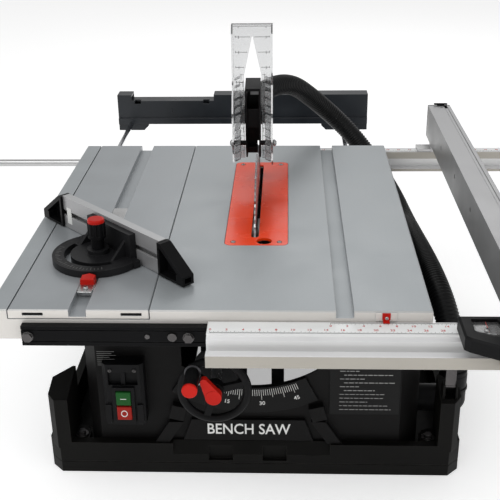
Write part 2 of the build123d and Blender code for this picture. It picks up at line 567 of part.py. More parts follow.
def make_tilt_frame():
    front = trunnion(*TRUNNION_Y, -1)
    front -= along_y(WHEEL_X, WHEEL_Z, TRUNNION_Y[0] - 1, TRUNNION_Y[1] + 1, 8)
    rear = trunnion(*REAR_TRUNNION_Y, 1)
    save("trunnions", front, rear)

    beam = block(-60, -22, TRUNNION_Y[1], REAR_TRUNNION_Y[0], 84, 96)
    beam += block(-60, -34, TRUNNION_Y[1], SCREW_Y + 11, 188, 198)
    beam += block(-60, -34, TRUNNION_Y[1], TRUNNION_Y[1] + 6, 90, 198)
    beam -= upright(WHEEL_X, SCREW_Y, 180, 200, 6 + RUNNING)
    for y in (-POST_Y, POST_Y):
        beam += upright(POST_X, y, 90, 284, POST_R)
    beam -= along_y(WHEEL_X, WHEEL_Z, TRUNNION_Y[1] - 1, TRUNNION_Y[1] + 8, 8)
    save("tilt_frame", beam)

    sleeve = along_y(WHEEL_X, WHEEL_Z, -270, TRUNNION_Y[0], 11)
    sleeve += along_y(WHEEL_X, WHEEL_Z, -273, -268.4, 32)
    tip = polar(SCALE_R + 4, -26)
    root = polar(150, -20)
    sleeve += slab_xz([tip, (root[0] - 5, root[1] - 2), (root[0] + 5, root[1] + 4)], -273, -268.4)
    sleeve -= along_y(WHEEL_X, WHEEL_Z, -274, TRUNNION_Y[0] + 1, 7 + RUNNING)
    save("wheel_bracket", sleeve)

    # fixed arc brackets under the table: the pins run in their slots
    brackets = []
    for y0, y1 in ((TRUNNION_Y[0] - 7, TRUNNION_Y[0] - 1), (REAR_TRUNNION_Y[1] + 1, REAR_TRUNNION_Y[1] + 7)):
        half = along_y(0, TABLE_Z, y0, y1, 84) & block(-90, 90, y0 - 1, y1 + 1, 200, TABLE_Z - PLATE)
        slot_a, slot_b = PIN_ANGLES[0] - 1, PIN_ANGLES[1] + 46
        half -= ring_sector(PIN_PATH - 4.3, PIN_PATH + 4.3, slot_a, slot_b, y0 - 1, y1 + 1)
        for angle in (slot_a, slot_b):
            x, z = polar(PIN_PATH, angle)
            half -= along_y(x, z, y0 - 1, y1 + 1, 4.3)
        half -= block(-90, 90, y0 - 1, y1 + 1, TABLE_Z - PLATE, 320)
        brackets.append(half)
    save("trunnion_brackets", *brackets)


def bevel_cone(r_big, r_small, height):
    """Bevel gear blank with radial tooth gaps, its big end at Z = 0."""
    gear = Pos(0, 0, height / 2) * Cone(r_big, r_small, height)
    for step in range(12):
        gap = Rot(0, 0, 30 * step) * Pos(r_big, 0, height / 2 + 1) * Box(7, 2.2, height + 4)
        gear -= gap
    return gear


def make_lift_drive():
    screw = upright(WHEEL_X, SCREW_Y, 184.4, 275, 6)
    screw += Pos(WHEEL_X, SCREW_Y, 184.4) * Rot(180, 0, 0) * bevel_cone(12, 8, 4)
    save("lift_screw", screw)

    shaft = along_y(WHEEL_X, WHEEL_Z, -334, -134, 7)
    shaft -= along_y(WHEEL_X, WHEEL_Z, -335, -218, 3.5 + RUNNING)
    shaft += Pos(WHEEL_X, -134, WHEEL_Z) * Rot(-90, 0, 0) * bevel_cone(12, 9, 4)
    save("wheel_shaft", shaft)

    # handwheel: oval rim, hub and three spokes
    mid_y = WHEEL_Y + 6
    rim = Torus(43.5, 5.5)
    wheel = Pos(WHEEL_X, mid_y, WHEEL_Z) * Rot(90, 0, 0) * rim
    wheel += along_y(WHEEL_X, WHEEL_Z, WHEEL_Y, WHEEL_Y + 14, 13)
    for step in range(3):
        angle = 135 + 120 * step
        spoke = Pos(WHEEL_X, mid_y, WHEEL_Z) * Rot(0, -angle, 0) * Pos(26, 0, 0) * Box(32, 7, 9)
        wheel += spoke
    knob_x = WHEEL_X + KNOB_R * cos(radians(KNOB_ANGLE))
    knob_z = WHEEL_Z + KNOB_R * sin(radians(KNOB_ANGLE))
    wheel += along_y(knob_x, knob_z, WHEEL_Y - 1, WHEEL_Y + 11, 8)
    wheel += along_y(knob_x, knob_z, WHEEL_Y - 36, WHEEL_Y, 3)
    wheel -= along_y(WHEEL_X, WHEEL_Z, WHEEL_Y - 1, WHEEL_Y + 15, 7)
    save("handwheel", wheel)

    grip = along_y(knob_x, knob_z, WHEEL_Y - 42, WHEEL_Y - 1.5, 9.3)
    grip = fillet(grip.edges().group_by(Axis.Y)[-1], 3)
    grip -= along_y(knob_x, knob_z, WHEEL_Y - 37, WHEEL_Y, 3 + RUNNING)
    save("crank_knob", grip)
    cap = along_y(knob_x, knob_z, WHEEL_Y - 46, WHEEL_Y - 42, 9.9)
    save("crank_knob_cap", fillet(cap.edges().group_by(Axis.Y)[0], 1.5))

    # bevel lock: teardrop lever whose rod runs back through the hollow shaft
    big_r, small_r, reach = 10.5, 5.0, 25.5
    lever = along_y(WHEEL_X, WHEEL_Z, -345, -334.6, big_r)
    tip_angle = radians(117)
    tip_x = WHEEL_X + reach * cos(tip_angle)
    tip_z = WHEEL_Z + reach * sin(tip_angle)
    lever += along_y(tip_x, tip_z, -344.5, -336, small_r)
    side_x, side_z = sin(tip_angle), -cos(tip_angle)
    outline = [(WHEEL_X + big_r * side_x, WHEEL_Z + big_r * side_z), (tip_x + small_r * side_x, tip_z + small_r * side_z),
               (tip_x - small_r * side_x, tip_z - small_r * side_z), (WHEEL_X - big_r * side_x, WHEEL_Z - big_r * side_z)]
    lever += slab_xz(outline, -344.5, -336)
    lever += along_y(WHEEL_X, WHEEL_Z, -337, -222, 3.5)
    save("bevel_lock_lever", lever)


KNOB_R = 40.5
KNOB_ANGLE = 131.0


# ---------------------------------------------------------------- blade, motor and guard
def make_arbor_carriage():
    top = BLADE_Z + 22
    frame = block(-44, -35, -52, 52, 130, top)
    frame += along_x(0, BLADE_Z, -44, -14, 24)
    for y in (-POST_Y, POST_Y):
        frame += upright(POST_X, y, 200, 262, 11.5)
        frame += block(-44, -35, min(y, 0), max(y, 0), 200, 262)
    frame += block(-60, -35, SCREW_Y - 13, -POST_Y, 246, 262)
    # arm that holds the riving knife
    frame += block(-44, -12, 52, 150, 236, 246)
    frame += block(-20, -1.3, 134, 150, 236, 246)
    for y in (-POST_Y, POST_Y):
        frame -= upright(POST_X, y, 190, 270, POST_R + RUNNING)
    frame -= upright(WHEEL_X, SCREW_Y, 240, 270, 6 + RUNNING)
    frame -= along_x(0, BLADE_Z, -45, -13, 8 + RUNNING)
    frame -= along_x(0, MOTOR_Z, -45, -34, 18)
    for y in (-34, 34):
        for z in (MOTOR_Z - 28, MOTOR_Z + 28):
            frame += along_x(y, z, -70, -43, 5)
    save("arbor_housing", frame)

    shell = along_x(0, MOTOR_Z, -185, -70, 42)
    shell -= along_x(0, MOTOR_Z, -181, -74, 38.5)
    shell -= along_x(0, MOTOR_Z, -75, -69, 8 + RUNNING)
    for step in range(12):
        vent = Pos(-174, 0, MOTOR_Z) * Rot(30 * step, 0, 0) * Pos(0, 0, 40) * Box(8, 6, 10)
        shell -= vent
    save("motor_housing", shell)

    armature = along_x(0, MOTOR_Z, -160, -92, 33)
    armature += along_x(0, MOTOR_Z, -180, -47.5, 8)
    armature += along_x(0, MOTOR_Z, PULLEY_X[0], PULLEY_X[1], 14)
    save("motor_armature", armature)

    # belt: a loop round both pulleys
    span = BLADE_Z - MOTOR_Z
    lean = (26.0 - 14.0) / span
    rise = (1 - lean ** 2) ** 0.5
    outer = []
    for pad in (3.3, 0.3):
        big, small = 26 + pad, 14 + pad
        loop = along_x(0, BLADE_Z, PULLEY_X[0] + 1, PULLEY_X[1] - 1, big)
        loop += along_x(0, MOTOR_Z, PULLEY_X[0] + 1, PULLEY_X[1] - 1, small)
        sides = [(big * rise, BLADE_Z - big * lean), (small * rise, MOTOR_Z - small * lean),
                 (-small * rise, MOTOR_Z - small * lean), (-big * rise, BLADE_Z - big * lean)]
        loop += slab_yz(sides, PULLEY_X[0] + 1, PULLEY_X[1] - 1)
        outer.append(loop)
    save("drive_belt", outer[0] - outer[1])

    shaft = along_x(0, BLADE_Z, PULLEY_X[0] - 2, 20, 8)
    shaft += along_x(0, BLADE_Z, PULLEY_X[0], PULLEY_X[1], 26)
    save("arbor_shaft", shaft)
    inner = along_x(0, BLADE_Z, -8, -1.3, 24) - along_x(0, BLADE_Z, -9, 0, 8)
    outer_flange = along_x(0, BLADE_Z, 1.3, 7, 24) - along_x(0, BLADE_Z, 0, 8, 8)
    nut = Pos(7, 0, BLADE_Z) * Rot(0, 90, 0) * hex_head(24, 10) - along_x(0, BLADE_Z, 6, 18, 8)
    save("blade_flanges", inner, outer_flange, nut)

    # blade: toothed disc with bore, gullets and four expansion slots
    r = BLADE_D / 2
    blade = along_x(0, BLADE_Z, -1.1, 1.1, r - 7)
    teeth = 40
    for step in range(teeth):
        a = radians(360 / teeth * step)
        b = radians(360 / teeth * (step + 0.62))
        c = radians(360 / teeth * (step + 0.82))
        points = [((r - 9) * cos(a), (r - 9) * sin(a)), (r * cos(a + 0.01), r * sin(a + 0.01)),
                  ((r - 1.5) * cos(a + 0.05), (r - 1.5) * sin(a + 0.05)),
                  ((r - 6) * cos(b), (r - 6) * sin(b)), ((r - 9) * cos(c), (r - 9) * sin(c))]
        blade += slab_yz([(-u, v + BLADE_Z) for u, v in points], -1.3, 1.3)
    for step in range(4):
        a = 45 + 90 * step
        cut = Pos(0, 0, BLADE_Z) * Rot(a, 0, 0) * Pos(0, 0, r - 14) * Box(6, 1.6, 26)
        blade -= cut
    blade -= along_x(0, BLADE_Z, -5, 5, 8)
    save("saw_blade", blade)

    # shroud round the lower half of the blade, open at its top
    cover = along_x(0, BLADE_Z, -13, 28, 134) - along_x(0, BLADE_Z, -11, 26, 131)
    cover &= block(-30, 40, -140, 140, 100, BLADE_Z - 30)
    port = along_y(7, BLADE_Z - 78, 90, 150, 18)
    cover += port
    cover -= along_y(7, BLADE_Z - 78, 70, 151, 16)
    cover -= along_x(0, BLADE_Z, -11, 26, 131) & block(-12, 27, -140, 140, 90, 300)
    save("blade_shroud", cover)

    # riving knife: a curved plate close behind the blade
    near, far = BLADE_D / 2 + 4, BLADE_D / 2 + 34
    knife = along_x(0, BLADE_Z, -1.1, 1.1, far) - along_x(0, BLADE_Z, -2, 2, near)
    limit = [(0, BLADE_Z - 6), (200, BLADE_Z - 6), (200, BLADE_Z + 90), (96, BLADE_Z + 113), (0, BLADE_Z)]
    knife &= slab_yz(limit, -3, 3)
    knife += block(-1.1, 1.1, 100, 150, BLADE_Z - 16, BLADE_Z - 4) - along_x(0, BLADE_Z, -2, 2, near)
    save("riving_knife", knife)


TOWER_Y = (82.0, 122.0)
TOWER_Z = (347.0, 472.0)
HOOD_W = 32.0
GUARD_X = -8.0


def make_guard():
    y0, y1 = TOWER_Y
    z0, z1 = TOWER_Z
    tower = block(-12, 12, y0, y1, z0, z1)
    tower -= slab_yz([(y0 - 1, z1 - 8), (y1, z1), (y1, z1 + 1), (y0 - 1, z1 + 1)], -13, 13)
    tower -= slab_yz([(y0 - 1, z0 - 1), (y1 - 3, z0 - 1), (y1 - 3, z1 - 4), (y0 - 1, z1 - 12)], -9.5, 9.5)
    tower -= slab_yz([(y0 - 1, z0 - 1), (y0 + 15, z0 - 1), (y0 - 1, z0 + 22)], -20, 20)
    tower -= block(-5, 9.5, y1 - 4, y1 + 1, z1 - 27, z1 - 10)
    tower += block(-9.5, 9.5, y0 + 8, y0 + 10.5, z0 + 52, z0 + 82)
    tower -= along_x(y0 + 20, z0 + 48, -20, 20, 3.2)
    for side in (-1, 1):
        x_pair = sorted((9.6 * side, 34.5 * side))
        tower += along_x(*GUARD_PIVOT, x_pair[0], x_pair[1], 4)
    tower += along_y(0, GUARD_PORT_Z, y1 - 2, GUARD_PORT_Y, 21)
    tower -= along_y(0, GUARD_PORT_Z, y1 - 4, y1 + 5, 9)
    tower -= along_y(0, GUARD_PORT_Z, y1 + 4, GUARD_PORT_Y + 1, 16)
    tower = Pos(GUARD_X, 0, 0) * tower
    for x_pair in ((GUARD_X - 9.8, -1.3), (1.3, GUARD_X + 12)):
        tower += block(*x_pair, 104, 120, 352, 362)
    tower -= block(-2, 2, y1 - 4, y1 + 1, z0 - 1, 368)
    save("guard_arm", tower)

    # clear hood, raised: its roof stands upright, its side walls point to the user
    pivot_y, pivot_z = GUARD_PIVOT
    roof_y = pivot_y + 16
    low, high = pivot_z - 35, pivot_z + 187
    roof = block(-HOOD_W, HOOD_W, roof_y, roof_y + 2.5, low + 4, high)
    notch = [(-13.5, low - 1), (13.5, low - 1), (13.5, TOWER_Z[1] + 8), (0.5, high - 20),
             (-0.5, high - 20), (-13.5, TOWER_Z[1] + 8)]
    roof -= slab_xz(notch, roof_y - 1, roof_y + 4)
    hood = roof
    for x0, x1, foot in ((-HOOD_W, -HOOD_W + 2.5, low + 4), (HOOD_W - 2.5, HOOD_W, low)):
        side = [(roof_y + 1, foot + 3), (roof_y - 22, foot), (roof_y - 43, low + 14), (roof_y - 49.5, low + 46),
                (roof_y - 47, low + 92), (roof_y - 26, low + 132), (roof_y - 20, high - 12),
                (roof_y - 12, high), (roof_y + 1, high)]
        hood += slab_yz(side, x0, x1)
    hood += block(-HOOD_W, HOOD_W, roof_y - 12, roof_y + 1, high - 2.5, high)
    hood -= along_x(pivot_y, pivot_z, -40, 40, 4 + 0.08)
    save("guard_hood", Pos(GUARD_X, 0, 0) * hood)


GUARD_PORT_Y = 185.0
GUARD_PORT_Z = 412.0


# ---------------------------------------------------------------- outfeed support
def make_outfeed():
    y0, y1 = OUTFEED_Y
    x0, x1 = -330.0, 223.0
    bar = block(x0, x1, y0, y1, TABLE_Z - 65, TABLE_Z)
    bar -= block(x0 + 3, x1 - 3, y0 + 4, y1 - 4, TABLE_Z - 66, TABLE_Z - 4)
    bar += block(x0, x1, y0 - 4, y0 + 2, TABLE_Z - 65, TABLE_Z - 52)
    bar -= block(-298, -116, y0 - 5, y1 + 1, TABLE_Z - 13, TABLE_Z + 1)
    bar += block(-300, -114, y0 + 2, y1 - 2, TABLE_Z - 17, TABLE_Z - 13)
    left = [(x0, TABLE_Z - 60), (x0, TABLE_Z - 80), (x0 + 56, TABLE_Z - 80), (x0 + 66, TABLE_Z - 70),
            (x0 + 66, TABLE_Z - 60)]
    right = [(x1, TABLE_Z - 60), (x1, TABLE_Z - 80), (x1 - 91, TABLE_Z - 80), (x1 - 101, TABLE_Z - 70),
             (x1 - 101, TABLE_Z - 60)]
    for outline in (left, right):
        bar += slab_xz(outline, y0, y1)
    for cut_x in (-292.0, -140.0):
        bar -= block(cut_x, cut_x + 14, y0 - 5, y0 + 12, TABLE_Z - 20, TABLE_Z)
    for rod_x in ROD_X:
        bar -= along_y(rod_x, ROD_Z, y0 - 6, y1 - 8, ROD_R)
    save("outfeed_bar", bar)
    rods = [along_y(rod_x, ROD_Z, 60, y1 - 8, ROD_R) for rod_x in ROD_X]
    save("outfeed_rods", *rods)

    guides = []
    for rod_x, top in ((ROD_X[0], TABLE_Z - SKIRT), (ROD_X[1], TABLE_Z - SKIRT)):
        for y in (248.0,):
            guide = block(rod_x - 12, rod_x + 12, y, y + 50, ROD_Z - 12, top)
            guide -= along_y(rod_x, ROD_Z, y - 1, y + 51, ROD_R + RUNNING)
            guides.append(guide)
    save("outfeed_guides", *guides)


# ---------------------------------------------------------------- dust extraction
TURBINE_X = (185.0, 229.0)
TURBINE_Z = 90.0


def make_dust_system():
    x0, x1 = TURBINE_X
    case = along_x(ELBOW_Y, TURBINE_Z, x0, x1, 47)
    case -= along_x(ELBOW_Y, TURBINE_Z, x0 + 3, x1 - 3, 44)
    case -= along_x(ELBOW_Y, TURBINE_Z, x0 - 1, x0 + 4, 24)
    pipe = along_x(ELBOW_Y, ELBOW_Z, x1 - 1, ELBOW_X, 20)
    pipe += Pos(ELBOW_X, ELBOW_Y, ELBOW_Z) * Sphere(20)
    pipe += upright(ELBOW_X, ELBOW_Y, ELBOW_Z, ELBOW_TOP + 6, 20)
    pipe += upright(ELBOW_X, ELBOW_Y, ELBOW_TOP + 2, ELBOW_TOP + 6, 21.5)
    hollow = along_x(ELBOW_Y, ELBOW_Z, x1 - 4, ELBOW_X, 15)
    hollow += Pos(ELBOW_X, ELBOW_Y, ELBOW_Z) * Sphere(15)
    hollow += upright(ELBOW_X, ELBOW_Y, ELBOW_Z, ELBOW_TOP + 7, 15)
    case += pipe
    case -= hollow
    save("turbine_housing", case)
    wheel = along_x(ELBOW_Y, TURBINE_Z, x0 + 8, x0 + 12, 39)
    wheel += along_x(ELBOW_Y, TURBINE_Z, x0 + 8, x1 - 8, 10)
    for step in range(8):
        blade = Pos((x0 + x1) / 2, ELBOW_Y, TURBINE_Z) * Rot(45 * step, 0, 0)
        wheel += blade * Pos(1, 0, 24) * Box(24, 2.5, 30)
    save("turbine_impeller", wheel)


HOSE = [(288, -185, 95), (288, -185, 150), (277, -152, 197), (267, -98, 220), (261, -10, 220),
        (256, 110, 208), (260, 230, 182), (246, 345, 196), (182, 415, 279), (98, 400, 361),
        (46, 320, 417), (GUARD_X, 245, GUARD_PORT_Z), (GUARD_X, GUARD_PORT_Y, GUARD_PORT_Z)]
HOSE_JOIN = 8              # the halves meet in the middle of the run after this corner


def make_hose():
    """Straight runs joined by arcs as large as the runs allow, cut across into two lengths."""
    corners = [Vector(*p) for p in HOSE]
    radii = []
    for before, here, after in zip(corners, corners[1:], corners[2:]):
        turn = radians((here - before).get_angle(after - here))
        run = min((here - before).length, (after - here).length)
        radii.append(0.45 * run / tan(turn / 2))
    print("hose radii", [round(r) for r in radii])
    path = FilletPolyline(*corners, radius=radii)
    start = Plane(origin=path @ 0, z_dir=path % 0)
    tube = sweep(start * Circle(HOSE_D / 2), path=path)
    print("hose volume ratio", round(tube.volume / (path.length * pi * HOSE_D ** 2 / 4), 4),
          "length", round(path.length))
    low, high = corners[HOSE_JOIN], corners[HOSE_JOIN + 1]
    cut = Plane(origin=(low + high) * 0.5, z_dir=high - low)
    save("dust_hose_lower", split(tube, bisect_by=cut, keep=Keep.BOTTOM))
    save("dust_hose_upper", split(tube, bisect_by=cut, keep=Keep.TOP))


# ---------------------------------------------------------------- side latch
def make_latch():
    """Lever of the latch on the right front fin."""
    lever = block(LATCH_X - 7, LATCH_X + 7, LATCH_Y - 2.5, LATCH_Y + 2.5, LATCH_Z - 2, LATCH_Z + 32)
    lever += along_x(LATCH_Y, LATCH_Z, LATCH_X - 7, LATCH_X + 7, 3.2)
    lever = fillet(lever.edges().filter_by(Axis.X).group_by(Axis.Z)[-1], 1.5)
    lever -= along_x(LATCH_Y, LATCH_Z, LATCH_X - 8, LATCH_X + 8, 1.5 + RUNNING)
    save("side_latch", lever)


make_base()
make_cabinet()
make_switch()
make_table()
make_carriage()
make_rails()
make_fence()
make_mitre()
make_tilt_frame()
make_lift_drive()
make_arbor_carriage()
make_guard()
make_outfeed()
make_dust_system()
make_hose()
make_latch()
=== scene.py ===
"""Looks of the bench table saw: materials for every CAD node, and the fine pieces that CAD leaves out."""

from math import cos, pi, radians, sin

import bmesh
import bpy
from mathutils import Matrix, Vector


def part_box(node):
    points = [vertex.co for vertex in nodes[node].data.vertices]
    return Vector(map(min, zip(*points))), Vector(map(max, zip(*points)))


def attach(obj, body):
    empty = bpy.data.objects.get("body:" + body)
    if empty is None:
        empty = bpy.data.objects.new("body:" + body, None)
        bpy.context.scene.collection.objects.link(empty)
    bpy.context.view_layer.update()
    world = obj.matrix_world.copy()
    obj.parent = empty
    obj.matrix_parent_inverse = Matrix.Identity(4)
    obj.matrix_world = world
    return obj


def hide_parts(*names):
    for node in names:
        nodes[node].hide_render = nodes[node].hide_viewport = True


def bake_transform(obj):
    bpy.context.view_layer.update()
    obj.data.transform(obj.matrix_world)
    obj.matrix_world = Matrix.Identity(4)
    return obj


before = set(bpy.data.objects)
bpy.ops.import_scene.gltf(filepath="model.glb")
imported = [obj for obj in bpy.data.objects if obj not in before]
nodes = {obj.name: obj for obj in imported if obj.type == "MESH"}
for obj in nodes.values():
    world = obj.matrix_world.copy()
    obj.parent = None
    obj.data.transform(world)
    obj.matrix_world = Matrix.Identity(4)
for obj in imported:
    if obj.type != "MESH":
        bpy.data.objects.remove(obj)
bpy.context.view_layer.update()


# ---------------------------------------------------------------- camera and studio
CAMERA_PLACE = (0.0471, -1.3474, 0.8408)
CAMERA_PITCH, CAMERA_YAW, CAMERA_ROLL = 0.4289, -0.0440, -0.0158
CAMERA_LENS_MM, CAMERA_SENSOR_MM = 66.96, 36
FLOOR_REACH = 25
FLOOR_DROP = 0.0005


def make_camera():
    """Camera at the photograph's viewing angle, rolled slightly as it is there."""
    pitch, yaw, roll = CAMERA_PITCH, CAMERA_YAW, CAMERA_ROLL
    forward = Vector((sin(yaw) * cos(pitch), cos(yaw) * cos(pitch), -sin(pitch)))
    level = Vector((cos(yaw), -sin(yaw), 0))
    rise = level.cross(forward)
    right = cos(roll) * level + sin(roll) * rise
    up = cos(roll) * rise - sin(roll) * level
    turn = Matrix((right, up, -forward)).transposed()
    camera = bpy.data.objects.new("camera", bpy.data.cameras.new("camera"))
    bpy.context.scene.collection.objects.link(camera)
    camera.data.lens = CAMERA_LENS_MM
    camera.data.sensor_width = CAMERA_SENSOR_MM
    camera.matrix_world = Matrix.Translation(CAMERA_PLACE) @ turn.to_4x4()
    bpy.context.scene.camera = camera


def area_light(name, spot, aim, size, power):
    """Soft rectangular light at a spot, turned towards its aim."""
    light = bpy.data.lights.new(name, "AREA")
    light.shape = "RECTANGLE"
    light.size, light.size_y = size
    light.energy = power
    lamp = bpy.data.objects.new(name, light)
    bpy.context.scene.collection.objects.link(lamp)
    lamp.location = spot
    lamp.rotation_mode = "QUATERNION"
    lamp.rotation_quaternion = (Vector(aim) - Vector(spot)).to_track_quat("-Z", "Y")


def make_floor():
    """Plain pale paper, a hair below the feet."""
    mesh = bpy.data.meshes.new("floor")
    reach = FLOOR_REACH
    corners = [(-reach, -reach, 0), (reach, -reach, 0), (reach, reach, 0), (-reach, reach, 0)]
    mesh.from_pydata(corners, [], [(0, 1, 2, 3)])
    floor = bpy.data.objects.new("floor", mesh)
    bpy.context.scene.collection.objects.link(floor)
    floor.location.z = -FLOOR_DROP
    paper = bpy.data.materials.new("floor_paper")
    paper.use_nodes = True
    shader = paper.node_tree.nodes["Principled BSDF"]
    shader.inputs["Base Color"].default_value = (0.93, 0.93, 0.93, 1)
    shader.inputs["Roughness"].default_value = 0.9
    shader.inputs["Specular IOR Level"].default_value = 0.1
    shader.inputs["Emission Color"].default_value = (1, 1, 1, 1)
    shader.inputs["Emission Strength"].default_value = 0.42
    mesh.materials.append(paper)


def make_studio():
    """White surroundings and three soft lights over the floor."""
    scene = bpy.context.scene
    scene.view_settings.view_transform = "Standard"
    world = bpy.data.worlds.new("studio")
    world.use_nodes = True
    world.node_tree.nodes["Background"].inputs["Color"].default_value = (1, 1, 1, 1)
    world.node_tree.nodes["Background"].inputs["Strength"].default_value = 0.50
    scene.world = world
    area_light("key", (-0.9, -1.1, 2.2), (0, 0, 0.2), (1.6, 1.6), 17)
    area_light("fill", (1.8, -1.6, 1.2), (0, 0, 0.2), (1.4, 1.4), 6)
    area_light("rear", (0.4, 2.4, 1.8), (0, 0.2, 0.3), (2.0, 1.0), 9)
    make_floor()


# ---------------------------------------------------------------- materials
def node(tree, kind, **settings):
    """New shader node with some of its properties set."""
    made = tree.nodes.new(kind)
    for name, value in settings.items():
        setattr(made, name, value)
    return made


def noise(tree, coordinates, scale, detail, stretch=(1, 1, 1)):
    """Noise about 0.5; a small stretch along an axis draws it out into lines that way."""
    mapping = node(tree, "ShaderNodeMapping")
    mapping.inputs["Scale"].default_value = stretch
    tree.links.new(coordinates, mapping.inputs["Vector"])
    grain = node(tree, "ShaderNodeTexNoise")
    grain.inputs["Scale"].default_value = scale
    grain.inputs["Detail"].default_value = detail
    tree.links.new(mapping.outputs["Vector"], grain.inputs["Vector"])
    return grain.outputs["Fac"]


def remap(tree, value, low, high, start=0.3, end=0.7):
    """Low where the value is at start, high where it is at end, and held past both."""
    ranged = node(tree, "ShaderNodeMapRange")
    ranged.inputs["From Min"].default_value = start
    ranged.inputs["From Max"].default_value = end
    ranged.inputs["To Min"].default_value = low
    ranged.inputs["To Max"].default_value = high
    tree.links.new(value, ranged.inputs["Value"])
    return ranged.outputs["Result"]


def mix_colour(tree, factor, first, second):
    """First colour at factor zero, second at one; each is a colour or a socket."""
    mixed = node(tree, "ShaderNodeMix", data_type="RGBA")
    tree.links.new(factor, mixed.inputs["Factor"])
    for socket, value in ((mixed.inputs[6], first), (mixed.inputs[7], second)):
        if isinstance(value, tuple):
            socket.default_value = (*value, 1)
        else:
            tree.links.new(value, socket)
    return mixed.outputs[2]


def edge_mask(tree, radius):
    """The normal softened over edges, and a mask: zero on flat faces, rising along edges."""
    rounded = node(tree, "ShaderNodeBevel")
    rounded.inputs["Radius"].default_value = radius
    flat = node(tree, "ShaderNodeNewGeometry")
    dot = node(tree, "ShaderNodeVectorMath", operation="DOT_PRODUCT")
    tree.links.new(rounded.outputs["Normal"], dot.inputs[0])
    tree.links.new(flat.outputs["Normal"], dot.inputs[1])
    return rounded.outputs["Normal"], remap(tree, dot.outputs["Value"], 0.85, 0.0, 0.7, 0.995)


def normal_mask(tree, axis, start, end):
    """One where the normal's share along an axis is under start, falling to zero at end."""
    geometry = node(tree, "ShaderNodeNewGeometry")
    split = node(tree, "ShaderNodeSeparateXYZ")
    tree.links.new(geometry.outputs["Normal"], split.inputs["Vector"])
    return remap(tree, split.outputs[axis], 1, 0, start, end)


def roughened(tree, height, strength, distance, normal=None):
    """The normal, pushed about by a height."""
    bump = node(tree, "ShaderNodeBump")
    bump.inputs["Strength"].default_value = strength
    bump.inputs["Distance"].default_value = distance
    tree.links.new(height, bump.inputs["Height"])
    if normal is not None:
        tree.links.new(normal, bump.inputs["Normal"])
    return bump.outputs["Normal"]


def surface(name, colour, roughness, metallic=0.0, grain=(900, 0.08), variation=0.12, stretch=(1, 1, 1),
            edge_wear_and_highlight=None, edge=0.0007, streaks=0.0, painted_side_shading=None, shine=0.5, front=None):
    """Procedural surface: cloudy colour, fine grain, uneven gloss, softened edges lightened in patches.

    Grain is the fine noise's scale and depth. The edge colour is partly rubbed wear and partly a painted
    highlight. The side colour is painted light and shade on the faces that don't look up, and the
    last colour is that of the faces that look at the user.
    """
    material = bpy.data.materials.new(name)
    material.use_nodes = True
    tree = material.node_tree
    shader = tree.nodes["Principled BSDF"]
    shader.inputs["Metallic"].default_value = metallic
    shader.inputs["Specular IOR Level"].default_value = shine
    where = node(tree, "ShaderNodeTexCoord").outputs["Object"]
    clouds = noise(tree, where, 16, 6)
    specks = noise(tree, where, grain[0], 4, stretch)
    dark = tuple(c * (1 - variation) for c in colour)
    light = tuple(min(1.0, c * (1 + variation)) for c in colour)
    paint = mix_colour(tree, remap(tree, clouds, 0, 1), dark, light)
    if streaks:
        lines = noise(tree, where, 500, 2, stretch)
        paint = mix_colour(tree, remap(tree, lines, 0, streaks), paint, light)
    # painted light and shade: faces that don't look up take a lighter or darker colour, standing in for how
    # the light falls on them
    if painted_side_shading:
        paint = mix_colour(tree, normal_mask(tree, "Z", 0.55, 0.9), paint, painted_side_shading)
    if front:
        paint = mix_colour(tree, normal_mask(tree, "Y", -0.9, -0.55), paint, front)
    normal, mask = edge_mask(tree, edge)
    # partly rubbed wear and partly a painted highlight: edges lightened in patches
    if edge_wear_and_highlight:
        patches = remap(tree, noise(tree, where, 60, 5), 0.25, 1.0, 0.35, 0.6)
        both = node(tree, "ShaderNodeMath", operation="MULTIPLY")
        tree.links.new(mask, both.inputs[0])
        tree.links.new(patches, both.inputs[1])
        paint = mix_colour(tree, both.outputs["Value"], paint, edge_wear_and_highlight)
    tree.links.new(paint, shader.inputs["Base Color"])
    gloss = remap(tree, clouds, max(0.03, roughness - 0.07), min(1.0, roughness + 0.07))
    tree.links.new(gloss, shader.inputs["Roughness"])
    tree.links.new(roughened(tree, specks, grain[1], 0.0004, normal), shader.inputs["Normal"])
    return material


def clear_plastic(name, tint, roughness=0.04):
    """Clear moulded plastic with faint scuffs."""
    material = bpy.data.materials.new(name)
    material.use_nodes = True
    tree = material.node_tree
    shader = tree.nodes["Principled BSDF"]
    shader.inputs["Base Color"].default_value = (*tint, 1)
    shader.inputs["Transmission Weight"].default_value = 0.92
    shader.inputs["IOR"].default_value = 1.45
    where = node(tree, "ShaderNodeTexCoord").outputs["Object"]
    scuffs = noise(tree, where, 220, 6, (1, 1, 3))
    tree.links.new(remap(tree, scuffs, roughness, roughness + 0.16, 0.5, 0.75), shader.inputs["Roughness"])
    waves = noise(tree, where, 90, 3)
    tree.links.new(roughened(tree, waves, 0.15, 0.0003), shader.inputs["Normal"])
    return material


